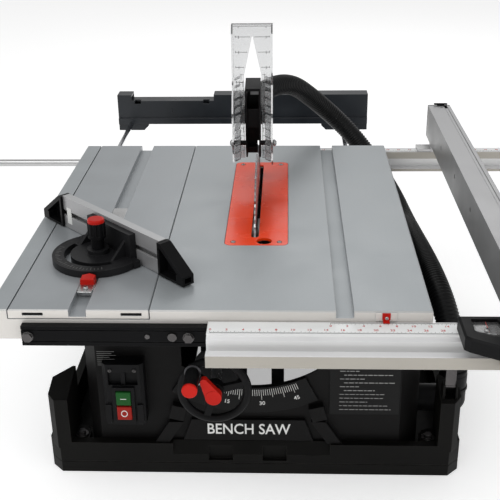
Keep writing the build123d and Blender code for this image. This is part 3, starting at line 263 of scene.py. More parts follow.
BLACK = (0.0045, 0.0045, 0.005)
# edge colour of the black parts: scuffs with a painted highlight
SCUFF_AND_EDGE_HIGHLIGHT = (0.030, 0.030, 0.030)
ALONG_X = (0.02, 1, 1)
ALONG_Y = (1, 0.02, 1)
ALONG_Z = (1, 1, 0.05)
SURFACES = {
    "black_plastic": dict(colour=BLACK, roughness=0.45, grain=(1400, 0.22), variation=0.25, edge_wear_and_highlight=SCUFF_AND_EDGE_HIGHLIGHT,
                          shine=0.12),
    "tray_plastic": dict(colour=(0.0045, 0.0043, 0.0038), roughness=0.5, grain=(1100, 0.3), variation=0.3,
                         edge_wear_and_highlight=(0.045, 0.042, 0.038), edge=0.0012, shine=0.09),
    "rubber": dict(colour=(0.010, 0.010, 0.010), roughness=0.75, grain=(1600, 0.3), shine=0.2),
    "cabinet_black": dict(colour=(0.0055, 0.0052, 0.0052), roughness=0.45, grain=(1500, 0.25), edge_wear_and_highlight=SCUFF_AND_EDGE_HIGHLIGHT,
                          shine=0.10),
    "label": dict(colour=(0.007, 0.007, 0.007), roughness=0.35, grain=(2000, 0.05), shine=0.14),
    "scale_black": dict(colour=(0.006, 0.006, 0.006), roughness=0.4, grain=(1500, 0.1), shine=0.12),
    "green_button": dict(colour=(0.009, 0.090, 0.015), roughness=0.4, grain=(1500, 0.08), shine=0.14),
    "red_button": dict(colour=(0.33, 0.014, 0.008), roughness=0.4, grain=(1500, 0.08), shine=0.14),
    "table_grey": dict(colour=(0.378, 0.404, 0.418), roughness=0.40, metallic=0.25, grain=(700, 0.10),
                       variation=0.06, stretch=ALONG_Y, edge_wear_and_highlight=(0.78, 0.78, 0.77), edge=0.0012, streaks=0.2,
                       front=(0.74, 0.715, 0.68)),
    "carriage_grey": dict(colour=(0.362, 0.384, 0.400), roughness=0.38, metallic=0.3, grain=(700, 0.10),
                          variation=0.06, stretch=ALONG_Y, edge_wear_and_highlight=(0.80, 0.80, 0.79), edge=0.0012,
                          streaks=0.25, front=(0.76, 0.73, 0.69)),
    "insert_orange": dict(colour=(0.98, 0.058, 0.005), roughness=0.26, grain=(900, 0.05), variation=0.08,
                          edge_wear_and_highlight=(0.85, 0.25, 0.15), shine=0.28),
    # the rails' side colour is painted light, a little lighter than the top to lift the shade in their
    # recesses
    "rail_aluminium": dict(colour=(0.84, 0.84, 0.845), roughness=0.36, metallic=0.4, grain=(500, 0.05),
                           variation=0.04, stretch=ALONG_X, edge_wear_and_highlight=(0.90, 0.90, 0.90), streaks=0.2,
                           painted_side_shading=(0.86, 0.86, 0.855)),
    # painted reflection and shade: the warm dull tone seen on the rails' foremost face
    "rail_front_painted_reflection": dict(colour=(0.43, 0.405, 0.36), roughness=0.4, metallic=0.3, grain=(500, 0.05),
                       variation=0.05, stretch=ALONG_X, edge_wear_and_highlight=(0.90, 0.90, 0.90), streaks=0.15),
    # the fences' side colour is painted shade, darker than their tops
    "fence_aluminium": dict(colour=(0.40, 0.40, 0.405), roughness=0.38, metallic=0.55, grain=(500, 0.06),
                            variation=0.05, stretch=ALONG_Y, edge_wear_and_highlight=(0.70, 0.70, 0.70), streaks=0.25,
                            painted_side_shading=(0.34, 0.34, 0.34)),
    "mitre_aluminium": dict(colour=(0.50, 0.505, 0.51), roughness=0.38, metallic=0.5, grain=(600, 0.06),
                            variation=0.05, stretch=ALONG_Z, edge_wear_and_highlight=(0.75, 0.75, 0.75), streaks=0.2,
                            painted_side_shading=(0.40, 0.40, 0.405)),
    "guide_black": dict(colour=(0.0035, 0.0035, 0.004), roughness=0.36, grain=(800, 0.10), variation=0.2,
                        stretch=ALONG_X, edge_wear_and_highlight=(0.06, 0.06, 0.06), shine=0.08),
    "mitre_black": dict(colour=(0.011, 0.011, 0.012), roughness=0.42, grain=(1300, 0.2), variation=0.2,
                        edge_wear_and_highlight=(0.05, 0.05, 0.05), shine=0.2),
    "outfeed_black": dict(colour=(0.012, 0.015, 0.019), roughness=0.34, grain=(900, 0.12), variation=0.2,
                          stretch=ALONG_X, edge_wear_and_highlight=(0.07, 0.07, 0.08), edge=0.0014, shine=0.45),
    "steel": dict(colour=(0.52, 0.52, 0.52), roughness=0.32, metallic=0.95, grain=(700, 0.12),
                  variation=0.1, stretch=ALONG_X, edge_wear_and_highlight=(0.8, 0.8, 0.8)),
    "bolt_steel": dict(colour=(0.095, 0.09, 0.09), roughness=0.3, metallic=0.9, grain=(900, 0.2),
                       variation=0.25, edge_wear_and_highlight=(0.6, 0.6, 0.58), edge=0.0005),
    "blade_steel": dict(colour=(0.50, 0.50, 0.51), roughness=0.26, metallic=1.0, grain=(600, 0.15),
                        variation=0.12, stretch=ALONG_Z, edge_wear_and_highlight=(0.9, 0.9, 0.9)),
    "dark_steel": dict(colour=(0.06, 0.06, 0.065), roughness=0.38, metallic=0.6, grain=(700, 0.12),
                       variation=0.15, stretch=ALONG_Y, edge_wear_and_highlight=(0.3, 0.3, 0.3)),
    "chrome": dict(colour=(0.66, 0.67, 0.69), roughness=0.14, metallic=1.0, grain=(400, 0.03),
                   variation=0.05, stretch=ALONG_Y),
    "red_plastic": dict(colour=(0.56, 0.012, 0.006), roughness=0.38, grain=(1500, 0.08), variation=0.12,
                        edge_wear_and_highlight=(0.6, 0.08, 0.06), shine=0.15),
    "frame_dark": dict(colour=(0.02, 0.02, 0.022), roughness=0.45, metallic=0.2, grain=(800, 0.2),
                       variation=0.2, edge_wear_and_highlight=(0.2, 0.2, 0.2)),
    "arbor_casting": dict(colour=(0.42, 0.42, 0.42), roughness=0.5, metallic=0.7, grain=(300, 0.5),
                          variation=0.12),
    "motor_case": dict(colour=(0.02, 0.02, 0.022), roughness=0.4, metallic=0.3, grain=(500, 0.3),
                       variation=0.2),
    "dust_hose": dict(colour=(0.006, 0.0063, 0.0066), roughness=0.42, grain=(1300, 0.2), variation=0.3,
                      edge_wear_and_highlight=(0.03, 0.03, 0.03), edge=0.0003, shine=0.18),
    "white_print": dict(colour=(0.80, 0.80, 0.78), roughness=0.5, grain=(900, 0.02), variation=0.04),
    "label_print": dict(colour=(0.42, 0.42, 0.41), roughness=0.5, grain=(900, 0.02), variation=0.05),
    "faint_print": dict(colour=(0.16, 0.16, 0.155), roughness=0.5, grain=(900, 0.02), variation=0.1),
    "black_print": dict(colour=(0.03, 0.03, 0.03), roughness=0.5, grain=(900, 0.02), variation=0.1),
    "red_print": dict(colour=(0.62, 0.05, 0.04), roughness=0.5, grain=(900, 0.02), variation=0.08),
    "rule_strip": dict(colour=(0.88, 0.89, 0.885), roughness=0.35, grain=(900, 0.03), variation=0.03),
}
MATERIALS = {name: surface(name, **look) for name, look in SURFACES.items()}
MATERIALS["clear_guard"] = clear_plastic("clear_guard", (0.745, 0.75, 0.755))
MATERIALS["lens"] = clear_plastic("lens", (0.93, 0.93, 0.93), 0.02)
NODE_LOOKS = {
    "tray_plastic": ["base_tray"],
    "rubber": ["rubber_pads", "drive_belt"],
    "cabinet_black": ["cabinet"],
    "label": ["rating_plate"],
    "scale_black": ["bevel_scale"],
    "green_button": ["start_button"],
    "red_button": ["stop_button"],
    "table_grey": ["table_casting"],
    "carriage_grey": ["sliding_table"],
    "insert_orange": ["throat_insert"],
    "rail_aluminium": ["front_rail", "rear_rail"],
    "fence_aluminium": ["fence_beam"],
    "mitre_aluminium": ["mitre_fence"],
    "guide_black": ["front_rail_guide"],
    "mitre_black": ["mitre_head"],
    "bolt_steel": ["frame_screws", "side_latch"],
    "outfeed_black": ["outfeed_bar"],
    "steel": ["fence_rear_foot", "rear_guide_tube", "mitre_bar", "wheel_shaft", "lift_screw", "arbor_shaft",
              "blade_flanges"],
    "blade_steel": ["saw_blade", "motor_armature"],
    "dark_steel": ["riving_knife"],
    "chrome": ["carriage_guide_rods", "outfeed_rods"],
    "red_plastic": ["scale_pointer", "mitre_pointer", "mitre_knob_cap", "crank_knob_cap", "bevel_lock_lever"],
    "frame_dark": ["trunnions", "tilt_frame", "trunnion_brackets"],
    "arbor_casting": ["arbor_housing"],
    "motor_case": ["motor_housing"],
    "clear_guard": ["guard_hood"],
}


FACE_SLACK = 0.0004
POINTER_PLATE = 0.00101


def paint_faces(name, look, chosen):
    """Second material on the faces whose corners' Y values pass a test."""
    mesh = nodes[name].data
    mesh.materials.append(MATERIALS[look])
    for face in mesh.polygons:
        if chosen([mesh.vertices[k].co.y for k in face.vertices]):
            face.material_index = 1


def dress_nodes():
    """Give each CAD node its material; those in no list are black plastic."""
    looks = {name: look for look, names in NODE_LOOKS.items() for name in names}
    for name, part in nodes.items():
        part.data.materials.clear()
        part.data.materials.append(MATERIALS[looks.get(name, "black_plastic")])
    # the foremost face of both rails gets a painted warm reflection and shade, in beige
    for name in ("front_rail", "rear_rail"):
        front = min(vertex.co.y for vertex in nodes[name].data.vertices) + FACE_SLACK
        paint_faces(name, "rail_front_painted_reflection", lambda depths: max(depths) < front)
    # the pointer's backing plate is bare metal behind the red tip
    behind = max(vertex.co.y for vertex in nodes["scale_pointer"].data.vertices) - POINTER_PLATE
    paint_faces("scale_pointer", "carriage_grey", lambda depths: min(depths) > behind)


# ---------------------------------------------------------------- piece helpers
def add_piece(name, mesh, look, body, smooth=False):
    """Object made of a mesh, in one material, riding on a body if one is named."""
    piece = bpy.data.objects.new(name, mesh)
    bpy.context.scene.collection.objects.link(piece)
    mesh.materials.append(MATERIALS[look])
    for face in mesh.polygons:
        face.use_smooth = smooth
    if body:
        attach(piece, body)
    return piece


def from_bmesh(name, shape):
    """Mesh made of a bmesh, which is used up."""
    mesh = bpy.data.meshes.new(name)
    bmesh.ops.recalc_face_normals(shape, faces=shape.faces)
    shape.to_mesh(mesh)
    shape.free()
    return mesh


def join_rings(shape, low, high):
    """Faces all round between two rings of equally many corners."""
    for step in range(len(low)):
        after = (step + 1) % len(low)
        shape.faces.new((low[step], low[after], high[after], high[step]))


def place(centre, size, turn=None):
    """Matrix that makes a unit cube into a block."""
    turned = (turn or Matrix.Identity(3)).to_4x4()
    return Matrix.Translation(centre) @ turned @ Matrix.Diagonal((*size, 1))


def blocks(name, places, look, body, rounding=0.0):
    """Many small blocks in one mesh."""
    shape = bmesh.new()
    for matrix in places:
        bmesh.ops.create_cube(shape, size=1.0, matrix=matrix)
    if rounding:
        bmesh.ops.bevel(shape, geom=shape.edges[:], offset=rounding, segments=2, affect="EDGES")
    return add_piece(name, from_bmesh(name, shape), look, body)


def lathe(profile, where, steps=40):
    """Closed solid of revolution round the local Z axis; the profile starts and ends on the axis."""
    shape = bmesh.new()
    rings = []
    for radius, height in profile[1:-1]:
        ring = []
        for step in range(steps):
            angle = 2 * pi * step / steps
            ring.append(shape.verts.new((radius * cos(angle), radius * sin(angle), height)))
        rings.append(ring)
    for low, high in zip(rings, rings[1:]):
        join_rings(shape, low, high)
    for ring, height in ((rings[0], profile[0][1]), (rings[-1], profile[-1][1])):
        tip = shape.verts.new((0, 0, height))
        for step in range(steps):
            shape.faces.new((ring[step], ring[(step + 1) % steps], tip))
    bmesh.ops.transform(shape, matrix=where, verts=shape.verts)
    return shape


def facing(centre, direction):
    """Frame at a point whose Z axis looks along a direction."""
    turn = Vector(direction).to_track_quat("Z", "Y").to_matrix().to_4x4()
    return Matrix.Translation(centre) @ turn


# a screw head's outline and slot, as shares of its radius
SCREW_PROFILE = ((0, -0.2), (1, -0.2), (1, 0.25), (0.8, 0.5), (0.4, 0.62), (0, 0.64))
SCREW_SLOT = (1.1, 0.22, 0.2)
SCREW_SLOT_HEIGHT = 0.62
PRINT_THICK = 0.00012
PRINT_LIFT = 0.00004
LETTER_THICK = 0.00008
LETTER_WEIGHT = 0.012


def screws(name, places, radius, body, look="steel"):
    """Cross-head screws; each place is a point and the direction its head faces."""
    whole = bmesh.new()
    slots = []
    profile = [(radius * out, radius * up) for out, up in SCREW_PROFILE]
    slot_size = [radius * share for share in SCREW_SLOT]
    for centre, direction in places:
        where = facing(centre, direction)
        mesh = from_bmesh(name + "_part", lathe(profile, where, 24))
        whole.from_mesh(mesh)
        bpy.data.meshes.remove(mesh)
        for angle in (45, 135):
            turn = Matrix.Rotation(radians(angle), 4, "Z")
            slots.append(where @ turn @ place((0, 0, radius * SCREW_SLOT_HEIGHT), slot_size))
    add_piece(name, from_bmesh(name, whole), look, body, True)
    blocks(name + "_slots", slots, "black_print", body)


def lettering(name, labels, look, body):
    """Letters or numbers as thin meshes; each label is (text, frame matrix, height)."""
    whole = bmesh.new()
    for text, where, height in labels:
        curve = bpy.data.curves.new(name + "_text", "FONT")
        curve.body = text
        curve.size = height
        curve.extrude = LETTER_THICK
        curve.offset = height * LETTER_WEIGHT
        curve.align_x = "CENTER"
        curve.align_y = "CENTER"
        curve.resolution_u = 3
        holder = bpy.data.objects.new(name + "_text", curve)
        bpy.context.scene.collection.objects.link(holder)
        bpy.context.view_layer.update()
        mesh = bpy.data.meshes.new_from_object(holder)
        mesh.transform(where)
        whole.from_mesh(mesh)
        bpy.data.objects.remove(holder)
        bpy.data.meshes.remove(mesh)
        bpy.data.curves.remove(curve)
    bmesh.ops.remove_doubles(whole, verts=whole.verts, dist=1e-6)
    return add_piece(name, from_bmesh(name, whole), look, body)


# ---------------------------------------------------------------- dust hose
HOSE = [(0.288, -0.185, 0.095), (0.288, -0.185, 0.150), (0.277, -0.152, 0.197), (0.267, -0.098, 0.220),
        (0.261, -0.010, 0.220), (0.256, 0.110, 0.208), (0.260, 0.230, 0.182), (0.246, 0.345, 0.196),
        (0.182, 0.415, 0.279), (0.098, 0.400, 0.361), (0.046, 0.320, 0.417), (-0.008, 0.245, 0.412),
        (-0.008, 0.185, 0.412)]
HOSE_JOIN = 8
HOSE_R = 0.018
RIB_PITCH = 0.0052
RIB_DEPTH = 0.0013
RIB_RINGS = 4
CUFF_PROFILE = ((0, -0.001), (0.0195, -0.001), (0.0203, 0.001), (0.0203, 0.020), (0.0198, 0.0215),
                (0.0198, 0.027), (0.0188, 0.0285), (0, 0.0285))


def route_points():
    """Points on the smooth line through the hose's route."""
    curve = bpy.data.curves.new("hose_route", "CURVE")
    curve.dimensions = "3D"
    curve.resolution_u = 32
    spline = curve.splines.new("NURBS")
    spline.points.add(len(HOSE) - 1)
    for point, corner in zip(spline.points, HOSE):
        point.co = (*corner, 1)
    spline.order_u = 3
    spline.use_endpoint_u = True
    holder = bpy.data.objects.new("hose_route", curve)
    bpy.context.scene.collection.objects.link(holder)
    bpy.context.view_layer.update()
    mesh = bpy.data.meshes.new_from_object(holder)
    points = [vertex.co.copy() for vertex in mesh.vertices]
    bpy.data.objects.remove(holder)
    bpy.data.meshes.remove(mesh)
    bpy.data.curves.remove(curve)
    return points


def evenly(points, step):
    """The same line with points a fixed distance apart."""
    total = sum((b - a).length for a, b in zip(points, points[1:]))
    count = round(total / step)
    wanted = [total * k / count for k in range(count + 1)]
    placed, run, index = [], 0.0, 0
    for distance in wanted:
        while index < len(points) - 2 and run + (points[index + 1] - points[index]).length < distance:
            run += (points[index + 1] - points[index]).length
            index += 1
        a, b = points[index], points[index + 1]
        share = min(1.0, (distance - run) / max(1e-9, (b - a).length))
        placed.append(a.lerp(b, share))
    return placed


def ribbed_tube(name, points, first_ring):
    """Corrugated tube; half of each rib's rings are sunk, and they are counted from the hose's start."""
    steps = 32
    shape = bmesh.new()
    side = Vector((1, 0, 0))
    rings = []
    for index, point in enumerate(points):
        ahead = points[min(index + 1, len(points) - 1)] - points[max(index - 1, 0)]
        ahead.normalize()
        side = (side - side.dot(ahead) * ahead).normalized()
        across = ahead.cross(side)
        sunk = (index + first_ring) % RIB_RINGS >= RIB_RINGS // 2
        radius = HOSE_R - RIB_DEPTH if sunk else HOSE_R
        ring = []
        for step in range(steps):
            angle = 2 * pi * step / steps
            ring.append(shape.verts.new(point + radius * (cos(angle) * side + sin(angle) * across)))
        rings.append(ring)
    for low, high in zip(rings, rings[1:]):
        join_rings(shape, low, high)
    shape.faces.new(list(reversed(rings[0])))
    shape.faces.new(rings[-1])
    return add_piece(name, from_bmesh(name, shape), "dust_hose", None, True)


def make_hose():
    """Two lengths of hose that meet in the rear bend, and a plain cuff at each far end."""
    points = evenly(route_points(), RIB_PITCH / RIB_RINGS)
    low, high = Vector(HOSE[HOSE_JOIN]), Vector(HOSE[HOSE_JOIN + 1])
    middle, ahead = (low + high) / 2, (high - low).normalized()
    cut = next(k for k, point in enumerate(points) if (point - middle).dot(ahead) > 0)
    lower, upper = points[:cut + 1], points[cut:]
    parts = (("hose_lower", lower, 0, "saw_base", "tilt", "dust_hose_lower", lower),
             ("hose_upper", upper, cut, "tilt", "arbor_carriage", "dust_hose_upper", upper[::-1]))
    for name, line, first_ring, before, after, replaced, path in parts:
        hose = ribbed_tube(name, line, first_ring)
        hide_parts(replaced)
        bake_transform(hose)
    ends = ((points[0], points[4] - points[0], "saw_base"),
            (points[-1], points[-5] - points[-1], "arbor_carriage"))
    for number, (end, direction, body) in enumerate(ends):
        name = f"hose_cuff_{number}"
        cuff = from_bmesh(name, lathe(CUFF_PROFILE, facing(end, direction)))
        add_piece(name, cuff, "black_plastic", body)


# ---------------------------------------------------------------- printed rules and scales
MILLIMETRE = 0.001
LONG_TICK, MIDDLE_TICK, SHORT_TICK = 0.0046, 0.0034, 0.0020
RULE_LINE, RULE_TICK = 0.0004, 0.00034
NUMBER_STEP, NUMBER_HEIGHT = 0.02, 0.0060
STRIP_LIFT, STRIP_THICK, STRIP_MARGIN = 0.0001, 0.0003, 0.002
RULE_START, RULE_STOP = 0.004, 0.006
UPPER_RULE_START = 0.150


def rule(name, x_from, x_to, y, z, flip, number_y):
    """A row of millimetre ticks on a thin line, with a number at every second centimetre."""
    ticks = [place(((x_from + x_to) / 2, y, z), (x_to - x_from, RULE_LINE, PRINT_THICK))]
    for k in range(round((x_to - x_from) / MILLIMETRE) + 1):
        long = LONG_TICK if k % 10 == 0 else MIDDLE_TICK if k % 5 == 0 else SHORT_TICK
        spot = (x_from + k * MILLIMETRE, y + flip * long / 2, z)
        ticks.append(place(spot, (RULE_TICK, long, PRINT_THICK)))
    blocks(name + "_ticks", ticks, "black_print", "rail_rack")
    labels = []
    for k in range(int((x_to - x_from) / NUMBER_STEP) + 1):
        where = Matrix.Translation((x_from + k * NUMBER_STEP, number_y, z))
        labels.append((str(round(k * NUMBER_STEP * 100)), where, NUMBER_HEIGHT))
    lettering(name + "_numbers", labels, "red_print", "rail_rack")


def rule_strip(name, rail, y, width):
    """White strip under a rule, along nearly the whole of a rail's top."""
    low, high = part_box(rail)
    strip = place(((low.x + high.x) / 2, y, high.z + STRIP_LIFT),
                  (high.x - low.x - STRIP_MARGIN, width, STRIP_THICK))
    blocks(name, [strip], "rule_strip", "rail_rack")


def make_rail_rules():
    low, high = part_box("front_rail")
    start, stop, z = low.x + RULE_START, high.x - RULE_STOP, high.z + STRIP_THICK
    back = high.y
    rule_strip("front_rule_strip", "front_rail", back - 0.0155, 0.027)
    rule("front_rule_lower", start, stop, back - 0.0285, z, 1, back - 0.0205)
    rule("front_rule_upper", low.x + UPPER_RULE_START, stop, back - 0.0025, z, -1, back - 0.0105)
    low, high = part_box("rear_rail")
    start, stop, z = low.x + RULE_START, high.x - RULE_STOP, high.z + STRIP_THICK
    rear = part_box("table_casting")[1].y
    rule_strip("rear_rule_strip", "rear_rail", rear + 0.012, 0.016)
    rule("rear_rule", start, stop, rear + 0.005, z, 1, rear + 0.0145)


BEVEL_FIRST, BEVEL_LAST = -3, 47
BEVEL_LOWEST = 26  # the degree mark straight below the axis
BEVEL_TICK_R, BEVEL_NUMBER_R = 0.1648, 0.1872
BEVEL_TICK, BEVEL_NUMBER_HEIGHT = 0.00065, 0.0085


def make_bevel_marks():
    """Degree marks round the tilt's axis, which lies in the table's top."""
    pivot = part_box("table_casting")[1].z
    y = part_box("bevel_scale")[0].y - PRINT_LIFT
    ticks, labels = [], []
    for degree in range(BEVEL_FIRST, BEVEL_LAST + 1):
        angle = radians(degree - BEVEL_LOWEST)
        long = 0.0165 if degree % 10 == 0 else 0.0135 if degree % 5 == 0 else 0.0100
        radius = BEVEL_TICK_R + long / 2
        centre = (radius * sin(angle), y, pivot - radius * cos(angle))
        turn = Matrix.Rotation(-angle, 3, "Y")
        ticks.append(place(centre, (BEVEL_TICK, PRINT_THICK, long), turn))
        if degree in (0, 15, 30, 45):
            spot = (BEVEL_NUMBER_R * sin(angle), y, pivot - BEVEL_NUMBER_R * cos(angle))
            stand = Matrix.Rotation(-angle, 4, "Y") @ Matrix.Rotation(pi / 2, 4, "X")
            labels.append((str(degree), Matrix.Translation(spot) @ stand, BEVEL_NUMBER_HEIGHT))
    blocks("bevel_ticks", ticks, "white_print", "saw_base")
    lettering("bevel_numbers", labels, "white_print", "saw_base")


# each row of small print: its length as a share of the plate's width, the letters' height, and the
# indent as a share of the width
LABEL_ROWS = ((0.52, 0.00272, 0.20), (0.30, 0.00096, 0.14), (0.70, 0.00104, 0.20), (0.36, 0.00096, 0.14),
              (0.72, 0.00104, 0.20), (0.30, 0.00096, 0.14), (0.44, 0.00104, 0.20), (0.66, 0.0008, 0.14),
              (0.62, 0.0008, 0.14), (0.40, 0.0008, 0.14), (0.70, 0.0008, 0.14), (0.74, 0.0008, 0.14))
LABEL_MARGIN, LABEL_PITCH = 0.010, 0.0062
WORD_LENGTHS = (0.0050, 0.0075, 0.0036, 0.0062)
WORD_GAP, WORD_LEAST = 0.0013, 0.002


def make_label_marks():
    """Lines of plain bars where the plate has its small print."""
    low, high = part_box("rating_plate")
    y = low.y - PRINT_LIFT
    wide = high.x - low.x
    bars = []
    for row, (share, height, indent) in enumerate(LABEL_ROWS):
        z = high.z - LABEL_MARGIN - row * LABEL_PITCH
        x = low.x + wide * indent
        remaining = wide * share
        word = 0
        while remaining > WORD_LEAST:
            long = min(remaining, WORD_LENGTHS[(row + word) % len(WORD_LENGTHS)])
            bars.append(place((x + long / 2, y, z), (long, PRINT_THICK, height)))
            x += long + WORD_GAP
            remaining -= long + WORD_GAP
            word += 1
    blocks("label_lines", bars, "label_print", "saw_base")


# ---------------------------------------------------------------- details of single parts
def make_stop_mark():
    """Upright ring, slightly taller than wide, on the stop button."""
    low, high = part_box("stop_button")
    middle = (low + high) / 2
    section = ((0.0034, 0), (0.0046, 0), (0.0046, 0.0002), (0.0034, 0.0002))
    steps, stretch, sunk = 32, 1.15, 0.00015
    ring = bmesh.new()
    rows = []
    for step in range(steps):
        angle = 2 * pi * step / steps
        row = []
        for radius, depth in section:
            x, z = radius * cos(angle), stretch * radius * sin(angle)
            row.append(ring.verts.new((middle.x + x, low.y - sunk + depth, middle.z + z)))
        rows.append(row)
    for here, after in zip(rows, rows[1:] + rows[:1]):
        join_rings(ring, here, after)
    add_piece("stop_mark", from_bmesh("stop_mark", ring), "white_print", "stop_key")


def make_switch_details():
    low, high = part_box("start_button")
    middle = (low + high) / 2
    bar = place((middle.x, low.y - 0.00005, middle.z), (0.0085, 0.0002, 0.0011))
    blocks("start_mark", [bar], "white_print", "start_key")
    make_stop_mark()
    low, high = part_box("switch_box")
    middle_x = (low.x + high.x) / 2
    face = low.y + 0.0038
    places = [((middle_x + side * 0.0165, face, high.z - 0.009), (0, -1, 0)) for side in (-1, 1)]
    screws("switch_screws", places, 0.0028, "saw_base", "bolt_steel")


HOOD_WALL, HOOD_HALF = 0.0025, 0.0335
HOOD_PIVOT_YZ = (0.085, 0.375)
HOOD_PRINT, HOOD_PRINT_LIFT = 0.00025, 0.0001
GAUGE_ROWS, GAUGE_PITCH, GAUGE_TOP = 5, 0.0238, 0.0206
GAUGE_END, GAUGE_CROSS = 0.0265, 0.0215
CUTOUT_TOP, CUTOUT_START, CUTOUT_HALF, CUTOUT_SLOPE = 0.020, 0.0005, 0.0135, 0.2097
CUTOUT_GAP = 0.0025
LATTICE_ROWS, LATTICE_PITCH, LATTICE_FOOT = 11, 0.0125, 0.014
RIB_TILT = radians(24)


def make_guard_marks(x_mid, roof_y, top):
    """Black gauge lines over the hood's roof; they start at the edge of its tapered cut-out."""
    y = roof_y - HOOD_PRINT_LIFT
    marks = []
    for row in range(GAUGE_ROWS):
        z = top - GAUGE_TOP - row * GAUGE_PITCH
        drop = top - CUTOUT_TOP - z
        inner = CUTOUT_GAP + max(0.0, min(CUTOUT_HALF, CUTOUT_START + drop * CUTOUT_SLOPE))
        for side in (-1, 1):
            centre = (x_mid + side * (inner + GAUGE_END) / 2, y, z)
            marks.append(place(centre, (GAUGE_END - inner, HOOD_PRINT, 0.0006)))
            marks.append(place((x_mid + side * GAUGE_CROSS, y, z - 0.0005), (0.0007, HOOD_PRINT, 0.0046)))
            marks.append(place((x_mid + side * GAUGE_END, y, z + 0.0005), (0.0007, HOOD_PRINT, 0.0028)))
    for side in (-1, 1):
        marks.append(place((x_mid + side * GAUGE_CROSS, y, top - 0.0052), (0.0008, HOOD_PRINT, 0.0036)))
    blocks("guard_marks", marks, "black_print", "hood")


def make_guard_lattice(x_mid, roof_y, foot):
    """Moulded ribs in the hood's corners, fine lines between them, and four lengthwise rails."""
    y = roof_y - HOOD_PRINT_LIFT
    ribs, lines, rails = [], [], []
    for row in range(LATTICE_ROWS):
        z = foot + LATTICE_FOOT + row * LATTICE_PITCH
        depth = 0.036 if row < 6 else 0.024 if row < 9 else 0.012
        stagger = 0.0160 + 0.0025 * (row % 3)
        for side in (-1, 1):
            turn = Matrix.Rotation(side * RIB_TILT, 3, "Y")
            centre = (x_mid + side * 0.0240, roof_y - depth / 2 - 0.004, z)
            ribs.append(place(centre, (0.0095, depth, 0.0018), turn))
            lines.append(place((x_mid + side * 0.0175, y, z + 0.003), (0.0058, HOOD_PRINT, 0.0005)))
            lines.append(place((x_mid + side * stagger, y, z), (0.0006, HOOD_PRINT, 0.0085)))
    for side in (-1, 1):
        for offset in (0.0150, 0.0255):
            centre = (x_mid + side * offset, roof_y - 0.0016, foot + 0.075)
            rails.append(place(centre, (0.0012, 0.0032, 0.115)))
    hood_ribs = blocks("guard_ribs", ribs, "clear_guard", "hood", 0.0004)
    blocks("guard_lines", lines, "black_print", "hood")
    hood_rails = blocks("guard_rails", rails, "clear_guard", "hood", 0.0003)


def make_guard_details():
    low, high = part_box("guard_hood")
    x_mid = (low.x + high.x) / 2
    roof_y = high.y - HOOD_WALL
    make_guard_marks(x_mid, roof_y, high.z)
    make_guard_lattice(x_mid, roof_y, low.z)
    places = [((x_mid + side * HOOD_HALF, *HOOD_PIVOT_YZ), (side, 0, 0)) for side in (-1, 1)]
    screws("guard_pivot_screws", places, 0.0055, "arbor_carriage")


def prism(name, outline, z_low, z_high, look, body):
    """Upright prism over a flat outline."""
    shape = bmesh.new()
    lower = [shape.verts.new((x, y, z_low)) for x, y in outline]
    upper = [shape.verts.new((x, y, z_high)) for x, y in outline]
    shape.faces.new(list(reversed(lower)))
    shape.faces.new(upper)
    join_rings(shape, lower, upper)
    bmesh.ops.bevel(shape, geom=shape.edges[:], offset=0.0003, segments=2, affect="EDGES")
    return add_piece(name, from_bmesh(name, shape), look, body)


LENS_OUTLINE = ((0.0003, -0.0003), (0.0307, -0.0003), (0.0382, -0.0171), (0.0382, -0.0416),
                (0.0201, -0.0396), (0.0003, -0.0307))
LENS_FLOOR, LENS_THICK = 0.2986, 0.002


def make_fence_lens(left, far):
    """Clear window in the fence's head, with its red hairline."""
    outline = [(left + x, far + y) for x, y in LENS_OUTLINE]
    lens = prism("fence_lens", outline, LENS_FLOOR, LENS_FLOOR + LENS_THICK, "lens", "rip_fence")
    hairline = place((left + 0.0175, far - 0.018, LENS_FLOOR + 0.0021), (0.0006, 0.030, 0.0002))
    blocks("fence_hairline", [hairline], "red_print", "rip_fence")


def make_beam_top():
    """Black tab over the beam's far end, and the cover strip in its top slot."""
    low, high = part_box("fence_beam")
    middle = (low.x + high.x) / 2 + 0.0025
    tabs = [place((middle, high.y - 0.001, high.z + 0.0033), (0.0243, 0.0050, 0.0023)),
            place((middle, high.y - 0.001, high.z + 0.0011), (0.0125, 0.0050, 0.0024)),
            place((middle, high.y - 0.016, high.z + 0.0001), (0.0045, 0.0012, 0.0003))]
    blocks("fence_far_tab", tabs, "black_plastic", "rip_fence", 0.0004)
    strip = place((high.x - 0.009, (low.y + high.y) / 2 - 0.008, high.z - 0.0024), (0.0053, 0.685, 0.0040))
    blocks("fence_slot_cover", [strip], "fence_aluminium", "rip_fence", 0.0004)


def make_fence_details():
    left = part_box("fence_beam")[0].x - 0.0445
    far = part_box("fence_head")[1].y - 0.009
    make_fence_lens(left, far)
    make_beam_top()
    places = [((left + 0.0155, far - 0.0300, LENS_FLOOR + 0.0022), (0, 0, 1))]
    screws("fence_lens_screw", places, 0.0034, "rip_fence")


MITRE_PIVOT = (-0.212, -0.195, 0)
MITRE_TURN = 45
MITRE_SCALE_R, MITRE_SCALE_TOP = 0.0585, 0.3106


